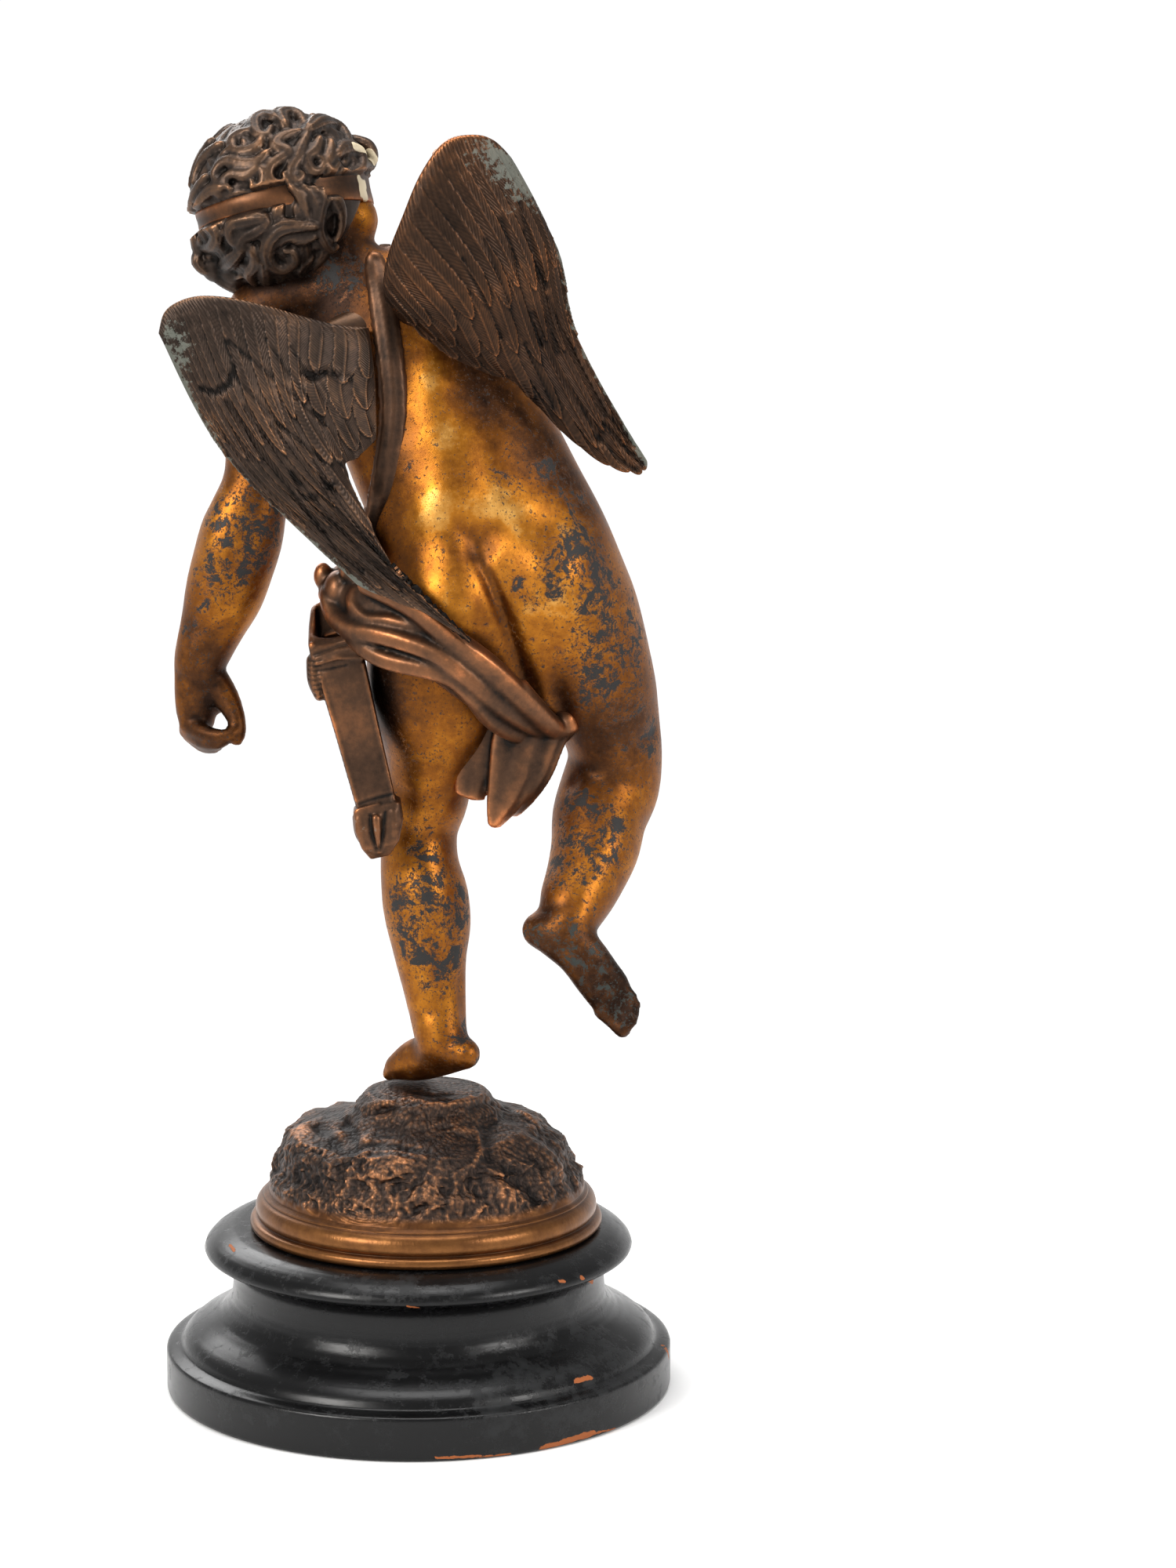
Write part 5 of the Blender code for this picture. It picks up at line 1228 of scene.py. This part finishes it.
cloth_heights = read_places(cloth_mesh)[:, 2]
write_mark(cloth_mesh, "shade", np.clip((cloth_heights - SASH_FROM) / SASH_FADE, 0, 1))
write_mark(cloth_mesh, "verdigris", np.full(len(cloth_mesh.vertices), 0.06))
cloth_bronze = patina("cloth_bronze", dark=1.35, warm=1.35)
add_piece("drapery", cloth_mesh, "cupid_figure", "brown_bronze", cloth_bronze)


# Each wing is a thin casting of overlapping feathers, fixed behind the shoulder. The
# feathers were cut with the graver: a quill, and barbs that lean away from it.

WING_THICK = 3.0
WING_COLUMNS, WING_ROWS = 232, 152
LEFT_WING = [
    [(-12.9, -8, 223.4), (-21.7, -11, 224.3), (-31.5, -14, 226.9), (-41.3, -17, 230.1),
     (-51.1, -18.5, 232.4), (-59.8, -19, 233), (-65.8, -19, 231.5), (-69.8, -18.5, 228.4),
     (-71.5, -17.5, 222.7)],
    [(-11.1, -14, 207.9), (-19.5, -18, 207.1), (-28.3, -21, 206.2), (-31.6, -24, 196.5),
     (-33.8, -25.5, 190), (-36.7, -26, 184.6), (-42.7, -25, 184.9), (-47.8, -23, 186.5),
     (-52.7, -20, 188.9)],
    [(-10.8, -17, 192.6), (-15.6, -20, 187.8), (-19.2, -23, 183.2), (-6.7, -30, 157.9),
     (2.3, -33, 146.5), (15.4, -35.5, 137.2), (4, -34, 144.3), (-5.9, -32, 148.1),
     (-16, -29, 152.3)],
]
RIGHT_WING = [
    [(-6.1, -12, 228.7), (-7.8, -16, 236.6), (-6.7, -20, 245.1), (-3.1, -24, 254.8),
     (1.8, -26, 266.5), (7.9, -27, 275.1), (14.5, -26, 277.7), (21.5, -23, 276.6),
     (26.6, -19, 270.1)],
    [(-5.1, -13, 231.8), (-1.7, -19, 229.1), (4.4, -23, 229.2), (11.5, -26, 233.6),
     (18.5, -26, 239.0), (24.7, -24, 243.2), (30.9, -21, 246.4), (36.3, -17, 248.3),
     (40.2, -13, 243.0)],
    [(-3.5, -13, 229.4), (3.8, -17, 223.5), (12.6, -19, 219.2), (20.7, -20, 217.5),
     (29.1, -19, 217.0), (35.8, -17, 218.0), (40.8, -15, 219.4), (44.2, -13, 220.6),
     (46.7, -11, 218.7)],
    [(0.5, -13, 223.3), (10.8, -15, 215.7), (22.1, -15, 210.6), (29.9, -14, 207.8),
     (42.7, -13, 193.7), (53.2, -13, 185.4), (60.6, -13, 182.5), (65.1, -13, 182.3),
     (66.6, -13, 185.4)],
]
# Rows of feathers from the arm of the wing outwards: where the row ends, how many feathers
# it has, and how high it lies in millimetres. Each feather is longer than the one inside it.
FEATHER_ROWS = ((0.34, 12, 1.7), (0.56, 11, 1.3), (0.78, 10, 0.9), (2.0, 9, 0.5))
FEATHER_STEP = 0.60
FEATHER_POINT = 0.12
QUILL_HIGH = 0.34
BARB_PITCH, BARB_SLANT = 58.0, 7.0
ARM_PITCH = 52.0
ARM_REACH, ARM_LIFT, ARM_SHARE = 0.17, 1.9, 0.75
EDGE_SLOPE = 6
TIP_NOTCH = 0.016
# Lines that the graver cut deeper, between the long feathers: width, depth and their path
# across the photograph.
WING_CUTS = {
    "left_wing": [
        (1.1, 0.7, (290, 436), (299, 468), (292, 490), (274, 501), (257, 496)),
        (0.7, 0.4, (292, 436), (345, 478), (416, 541)), (0.7, 0.4, (298, 478), (350, 536), (414, 589)),
        (0.7, 0.4, (339, 433), (378, 486), (416, 541)), (0.7, 0.4, (371, 442), (412, 505), (454, 573)),
        (0.7, 0.4, (403, 478), (434, 526), (461, 570)), (0.7, 0.4, (445, 478), (463, 512), (477, 548)),
        (1.4, 1.0, (388, 474), (402, 480), (414, 474), (432, 478)),
        (0.9, 0.6, (372, 604), (388, 634), (402, 634)), (0.9, 0.5, (402, 588), (418, 622), (426, 616)),
        (0.8, 0.5, (288, 512), (330, 574), (382, 640), (428, 700), (462, 728)),
        (0.7, 0.4, (312, 520), (360, 590), (420, 660), (470, 712), (512, 748)),
        (0.7, 0.4, (346, 540), (400, 610), (452, 676), (500, 722)),
        (0.7, 0.4, (420, 620), (460, 676), (512, 740), (550, 776)),
    ],
    "right_wing": [
        (0.8, 0.5, (618, 305), (644, 372), (670, 439)), (0.8, 0.5, (663, 258), (688, 350), (711, 449)),
        (1.0, 0.6, (670, 296), (684, 330), (697, 366)), (0.8, 0.5, (640, 280), (662, 350), (690, 440)),
        (0.8, 0.5, (590, 330), (616, 380), (640, 430)), (0.8, 0.5, (700, 380), (730, 450), (772, 530)),
        (0.8, 0.5, (680, 400), (716, 480), (766, 560)), (0.8, 0.5, (670, 440), (706, 520), (750, 580)),
        (0.7, 0.6, (770, 540), (800, 574), (820, 592)), (0.7, 0.6, (762, 556), (790, 586), (810, 600)),
        (0.7, 0.6, (782, 534), (808, 566), (826, 584)),
    ],
}
LEFT_ROOT = [(-8, 3, 222, 9, 7), (-15, -1, 220, 9, 6), (-22, -5, 218, 8, 4)]
RIGHT_ROOT = [(4, 3, 228, 9, 9), (2, -6, 231, 9, 6.5), (3, -13, 236, 8, 5)]


def feather_relief(across, along):
    """How far the feathers stand up, in millimetres, and the phase of their barbs."""
    height = np.zeros_like(across + along)
    bow = np.maximum(across + 0.016 * np.sin(7 * along + 4 * across), 0)
    phase = np.zeros_like(height)
    for edge, count, lift in reversed(FEATHER_ROWS):
        place = bow * count + (0.5 if count == 9 else 0)
        share = place % 1
        middle = np.abs(share - 0.5)
        stagger = 0.03 * np.sin(2.4 * np.floor(place))
        reach = edge + stagger + FEATHER_POINT * (1 - (2 * middle) ** 2) - along
        quill = QUILL_HIGH * np.exp(-(middle / 0.055) ** 2)
        turned = 0.30 * np.exp(-(reach / 0.012) ** 2)
        top = lift + FEATHER_STEP * share * (1 - 0.4 * along) + quill + turned
        height = np.where(reach > 0, top, height)
        phase = np.where(reach > 0, along * BARB_PITCH + middle * BARB_SLANT, phase)
    return height, phase


def wing_mesh(name, stations):
    """A closed plate, feathered on its outer face and smooth on the other."""
    per_line = WING_COLUMNS // (len(stations[0]) - 1)
    lines = np.array([smooth_rows(line, per_line) for line in stations])
    columns = lines.shape[1] - 1
    per_span = WING_ROWS // (len(stations) - 1)
    sheet = np.array([smooth_rows(lines[:, k].tolist(), per_span) for k in range(columns + 1)])
    rows = sheet.shape[1] - 1
    tips = FEATHER_ROWS[-1][1]
    for i in range(columns + 1):
        share = (i / columns * tips) % 1
        reach = 1 - TIP_NOTCH * (1 - sin(pi * share) ** 0.6)
        level = np.linspace(0, reach, rows + 1) * rows
        low = np.minimum(level.astype(int), rows - 1)
        sheet[i] = sheet[i][low] + (sheet[i][low + 1] - sheet[i][low]) * (level - low)[:, None]
    side = np.gradient(sheet, axis=0)
    down = np.gradient(sheet, axis=1)
    normal = np.cross(side, down)
    normal /= np.linalg.norm(normal, axis=2)[:, :, None] + 1e-9
    normal[normal[:, :, 1] > 0] *= -1
    across = np.linspace(0, 1, columns + 1)[:, None]
    along = np.linspace(0, 1, rows + 1)[None, :]
    edge = np.minimum(np.minimum(across, 1 - across), np.minimum(along, 1 - along))
    full = WING_THICK * (0.35 + 0.65 * np.minimum(1, edge * EDGE_SLOPE)) * (1.25 - 0.6 * along)
    height, barbs = feather_relief(across, along)
    arm = np.exp(-(along / ARM_REACH) ** 2) + 0 * across
    lift = height * (1 - ARM_SHARE * arm) + ARM_LIFT * ARM_SHARE * arm
    lift *= 0.25 + 0.75 * np.minimum(1, edge * 16) ** 0.5
    combed = across * ARM_PITCH + along * 16 + 0.6 * np.sin(across * 19)
    front = sheet + normal * lift[:, :, None]
    back = sheet - normal * full[:, :, None]
    origin = np.array(POSE_ORIGIN)
    places = np.concatenate([front.reshape(-1, 3), back.reshape(-1, 3)]) * UNIT + origin
    index = np.arange((columns + 1) * (rows + 1)).reshape(columns + 1, rows + 1)
    shift = index.size
    quads = np.stack([index[:-1, :-1], index[:-1, 1:], index[1:, 1:], index[1:, :-1]],
                     axis=-1).reshape(-1, 4)
    border = np.concatenate([index[:-1, 0], index[-1, :-1], index[:0:-1, -1], index[0, :0:-1]])
    after = np.roll(border, -1)
    rim = np.stack([border, after, after + shift, border + shift], axis=-1)
    faces = np.concatenate([quads, quads[:, ::-1] + shift, rim])
    mesh = bpy.data.meshes.new(name)
    mesh.from_pydata(places.tolist(), [], faces.tolist())
    shape = bmesh.new()
    shape.from_mesh(mesh)
    bmesh.ops.recalc_face_normals(shape, faces=shape.faces)
    shape.to_mesh(mesh)
    shape.free()
    green = np.exp(-((across - 1.0) / 0.08) ** 2) * np.clip(along * 4, 0, 1) * 0.86
    green = green + np.exp(-((across - 0.86) / 0.14) ** 2 - ((along - 0.12) / 0.13) ** 2) * 0.72
    green = green + np.exp(-((along - 1.0) / 0.08) ** 2) * 0.15 + 0.07
    marks = {"verdigris": green, "barbs": barbs, "combed": combed, "arm": arm}
    for label, value in marks.items():
        outer = value.ravel()
        write_mark(mesh, label, np.concatenate([outer, outer * (0.2 if label == "verdigris" else 1)]))
    return mesh


for node, stations, root, dark, warm in (
        ("left_wing", LEFT_WING, LEFT_ROOT, 1.05, 1.05),
        ("right_wing", RIGHT_WING, RIGHT_ROOT, 0.68, 1.30)):
    wing_bronze = patina(node + "_bronze", dark=dark, warm=warm, chased=True)
    name = node + "_feathers"
    mesh = wing_mesh(name, stations)
    sight = surface_of(mesh)
    for width, depth, *path in WING_CUTS[node]:
        carve(mesh, seen_path(sight, path), width, depth)
    mark_crests(mesh, "crest", 8, 0.24)
    mark_crests(mesh, "lock", 40, 0.8)
    add_piece(name, mesh, node, "dark_bronze", wing_bronze)
    shape = bmesh.new()
    limb(shape, root, sides=24, steps=6)
    stump = cast(node + "_root", shape, 0.0007, 4)
    mark_crests(stump, "crest", 8, 0.3)
    mark_crests(stump, "lock", 30, 0.6)
    for label, value in (("verdigris", 0), ("barbs", 0), ("combed", 0), ("arm", 1)):
        write_mark(stump, label, np.full(len(stump.vertices), value))
    add_piece(node + "_root", stump, node, "dark_bronze", wing_bronze)
# The quiver is a flat tapering case, open at its moulded mouth and closed by leaves at
# its foot. It hangs below the bunch of the sash.

QUIVER = [
    (-23.4, -7, 135.6, 6.8, 7.0, 10.5), (-22.8, -8, 134.0, 8, 7.8, 7),
    (-22.1, -9, 131.0, 8, 7.8, 3), (-21.9, -9.5, 129.2, 7, 6.8, 0),
    (-21.2, -10, 126.7, 6.7, 6.4, 0), (-17, -12, 109.9, 6, 5.4, 0),
    (-11.5, -14, 88, 5.4, 4.6, 0), (-11.4, -14, 87.2, 6.8, 5.6, 0),
    (-10.8, -14.5, 81.6, 7, 5.6, 0), (-10.4, -15, 76, 5.4, 4.6, 0),
    (-10.5, -15, 72.2, 2.8, 2.6, 0),
]
QUIVER_SIDES = 96
CASE_STEPS = 12
QUIVER_WALL = 1.4
QUIVER_HOLLOW = 11.0
QUIVER_GRAIN = 0.00046
GREEN_BELOW, GREEN_FADE, GREEN_MOST = 0.176, 0.010, 0.32
FLUTES = (-0.55, -0.15, 0.25, 0.65)
SIDE_BLOCK = [(-29.2, -11, 128.6, 2.2, 4.8), (-28.8, -11.4, 123, 2.3, 4.8),
              (-27.6, -12, 118.6, 1.6, 4.0)]
# Level cuts on the side block: how many, their top one and gap in the photograph's points.
SIDE_CUTS, SIDE_CUT_TOP, SIDE_CUT_GAP = 9, 842, 6
SIDE_CUT_WIDTH, SIDE_CUT_DEPTH = 0.40, 0.35
# Leaves round the foot, from the rim down to its point.
FOOT_LEAVES = [
    [(-11.6, -20.4, 84.5, 1.2, 0.8), (-11.2, -20.6, 80, 1.0, 0.9), (-10.8, -18.4, 74, 0.6, 0.6)],
    [(-16.4, -19.0, 84, 1.4, 0.9), (-15.6, -19.0, 79, 1.6, 1.0), (-12.8, -17, 73.5, 0.8, 0.7)],
    [(-6.6, -19.4, 86, 1.4, 0.9), (-6.6, -19.2, 80, 1.6, 1.0), (-9.0, -17, 73.5, 0.8, 0.7)],
    [(-17.6, -14.5, 83.5, 0.9, 1.4), (-16.6, -14.5, 78, 1.0, 1.6), (-13, -14.5, 73, 0.7, 0.9)],
]
# Cuts and swellings on the case: width, depth, and path across the photograph.
QUIVER_CUTS = [
    (0.8, -0.8, (398, 823), (415, 811), (440, 804)), (0.7, 0.5, (400, 836), (430, 824), (456, 820)),
    (0.8, -0.6, (404, 846), (430, 839), (462, 838)), (0.6, 0.4, (412, 855), (440, 849), (466, 847)),
    (0.7, 0.5, (456, 1026), (480, 1018), (500, 1013)),
    (0.6, -0.5, (455, 1034), (482, 1026), (512, 1018)),
    (0.6, 0.6, (472, 1040), (473, 1062), (480, 1084)), (0.6, 0.6, (491, 1036), (490, 1060), (485, 1084)),
]


def quiver_ring(x, y, z, wide, deep, far):
    ring = []
    for k in range(QUIVER_SIDES):
        a = 2 * pi * (k + 0.5) / QUIVER_SIDES
        c, s = cos(a), sin(a)
        power = 8
        out = (abs(c) ** power + abs(s) ** power) ** (-1 / power)
        ring.append(tuple(pose_point(x + wide * out * c, y + deep * out * s,
                                     z + 0.22 * wide * out * c + far * (0.5 + 0.5 * s))))
    return ring


rows = []
for one, two in zip(QUIVER, QUIVER[1:]):
    rows += [[a + (b - a) * k / CASE_STEPS for a, b in zip(one, two)] for k in range(CASE_STEPS)]
rows.append(list(QUIVER[-1]))
x, y, z, wide, deep, far = QUIVER[0]
inner = (wide - QUIVER_WALL, deep - QUIVER_WALL)
well = [quiver_ring(x + 1.6, y - 0.6, z - QUIVER_HOLLOW, 0.01, 0.01, 0),
        quiver_ring(x + 1.6, y - 0.6, z - QUIVER_HOLLOW, inner[0], inner[1], 0),
        quiver_ring(x, y, z, inner[0], inner[1], far)]
end = QUIVER[-1]
rings = well + [quiver_ring(*row) for row in rows] + [quiver_ring(*end[:3], 0.01, 0.01, 0)]
shape = bmesh.new()
shape.from_mesh(ring_mesh("case", rings))
for share in FLUTES:
    limb(shape, [(x - wide * 0.985, y + deep * share, z - 0.22 * wide, 0.62)
                 for x, y, z, wide, deep, far in QUIVER[4:7]], sides=12, steps=4)
for side in (-1, 1):
    limb(shape, [(x + side * wide * 0.93, y - deep * 0.93, z + side * 0.22 * wide, 0.55)
                 for x, y, z, wide, deep, far in QUIVER[4:7]], sides=12, steps=4)
limb(shape, SIDE_BLOCK, sides=24, steps=5)
for leaf in FOOT_LEAVES:
    limb(shape, leaf, sides=16, steps=5)
quiver_mesh = cast("quiver_case", shape, QUIVER_GRAIN, 2)
quiver_sight = surface_of(quiver_mesh)
for k in range(SIDE_CUTS):
    down = SIDE_CUT_TOP + SIDE_CUT_GAP * k
    carve(quiver_mesh, seen_path(quiver_sight, [(393, down), (401, down + 2), (409, down + 1)]),
          SIDE_CUT_WIDTH, SIDE_CUT_DEPTH)
for width, depth, *path in QUIVER_CUTS:
    carve(quiver_mesh, seen_path(quiver_sight, path), width, depth)
mark_crests(quiver_mesh, "crest", 8, 0.3)
mark_crests(quiver_mesh, "lock", 30, 0.7)
quiver_places = read_places(quiver_mesh)
write_mark(quiver_mesh, "verdigris",
           np.clip((GREEN_BELOW - quiver_places[:, 2]) / GREEN_FADE, 0, GREEN_MOST))
quiver_bronze = patina("quiver_bronze", dark=1.35, warm=1.35)
add_piece("quiver_case", quiver_mesh, "quiver", "brown_bronze", quiver_bronze)


# The statue stands on a plain white floor, in soft light from both sides and above. Far
# from the statue the floor is lit from behind, so that it ends in no line.

FLOOR_STEPS = 64
FLOOR_RISE = [(0.0, 0.0), (0.3, 0.0), (1.0, 0.0), (3.0, 0.0), (6.0, 0.25), (8.0, 1.2), (8.4, 2.2)]
FLOOR_BELOW = 0.0003
NEAR, FAR = 0.16, 0.55
paper = Finish("paper", Roughness=0.9, Metallic=0.0, Emission_Strength=1.0)
floor_mesh = turned("floor", [(radius, height - FLOOR_BELOW) for radius, height in FLOOR_RISE],
                    FLOOR_STEPS, paper)
floor = bpy.data.objects.new("floor", floor_mesh)
bpy.context.scene.collection.objects.link(floor)
away = paper.node("VectorMath", {0: paper.place()}, output=1, operation="LENGTH").clear(NEAR, FAR)
paper.shade(Base_Color=paper.blend(away, (0.90, 0.90, 0.90), (0.0, 0.0, 0.0)),
            Emission_Color=paper.blend(away, (0.0, 0.0, 0.0), (1.0, 1.0, 1.0)))
floor.data.shade_smooth()

SOFT_LIGHTS = [
    ("window", (-1.25, -1.15, 1.15), 0.75, 30, (1.0, 0.98, 0.95)),
    ("side", (1.35, -1.0, 0.95), 0.55, 15, (1.0, 0.98, 0.96)),
    ("above", (0.0, 0.1, 1.9), 1.2, 26, (1.0, 1.0, 1.0)),
    ("behind", (-0.6, 1.5, 1.2), 0.9, 12, (1.0, 1.0, 1.0)),
]
for name, spot, size, power, colour in SOFT_LIGHTS:
    lamp = bpy.data.lights.new(name, "AREA")
    lamp.size = size
    lamp.energy = power
    lamp.color = colour
    light = bpy.data.objects.new(name, lamp)
    light.location = spot
    aim = Vector((0, 0, 0.2)) - light.location
    light.rotation_euler = aim.to_track_quat("-Z", "Y").to_euler()
    bpy.context.scene.collection.objects.link(light)

world = bpy.data.worlds.new("studio")
world.use_nodes = True
world.node_tree.nodes["Background"].inputs["Color"].default_value = (1, 1, 1, 1)
world.node_tree.nodes["Background"].inputs["Strength"].default_value = 0.42
bpy.context.scene.world = world
bpy.context.scene.view_settings.view_transform = "Standard"
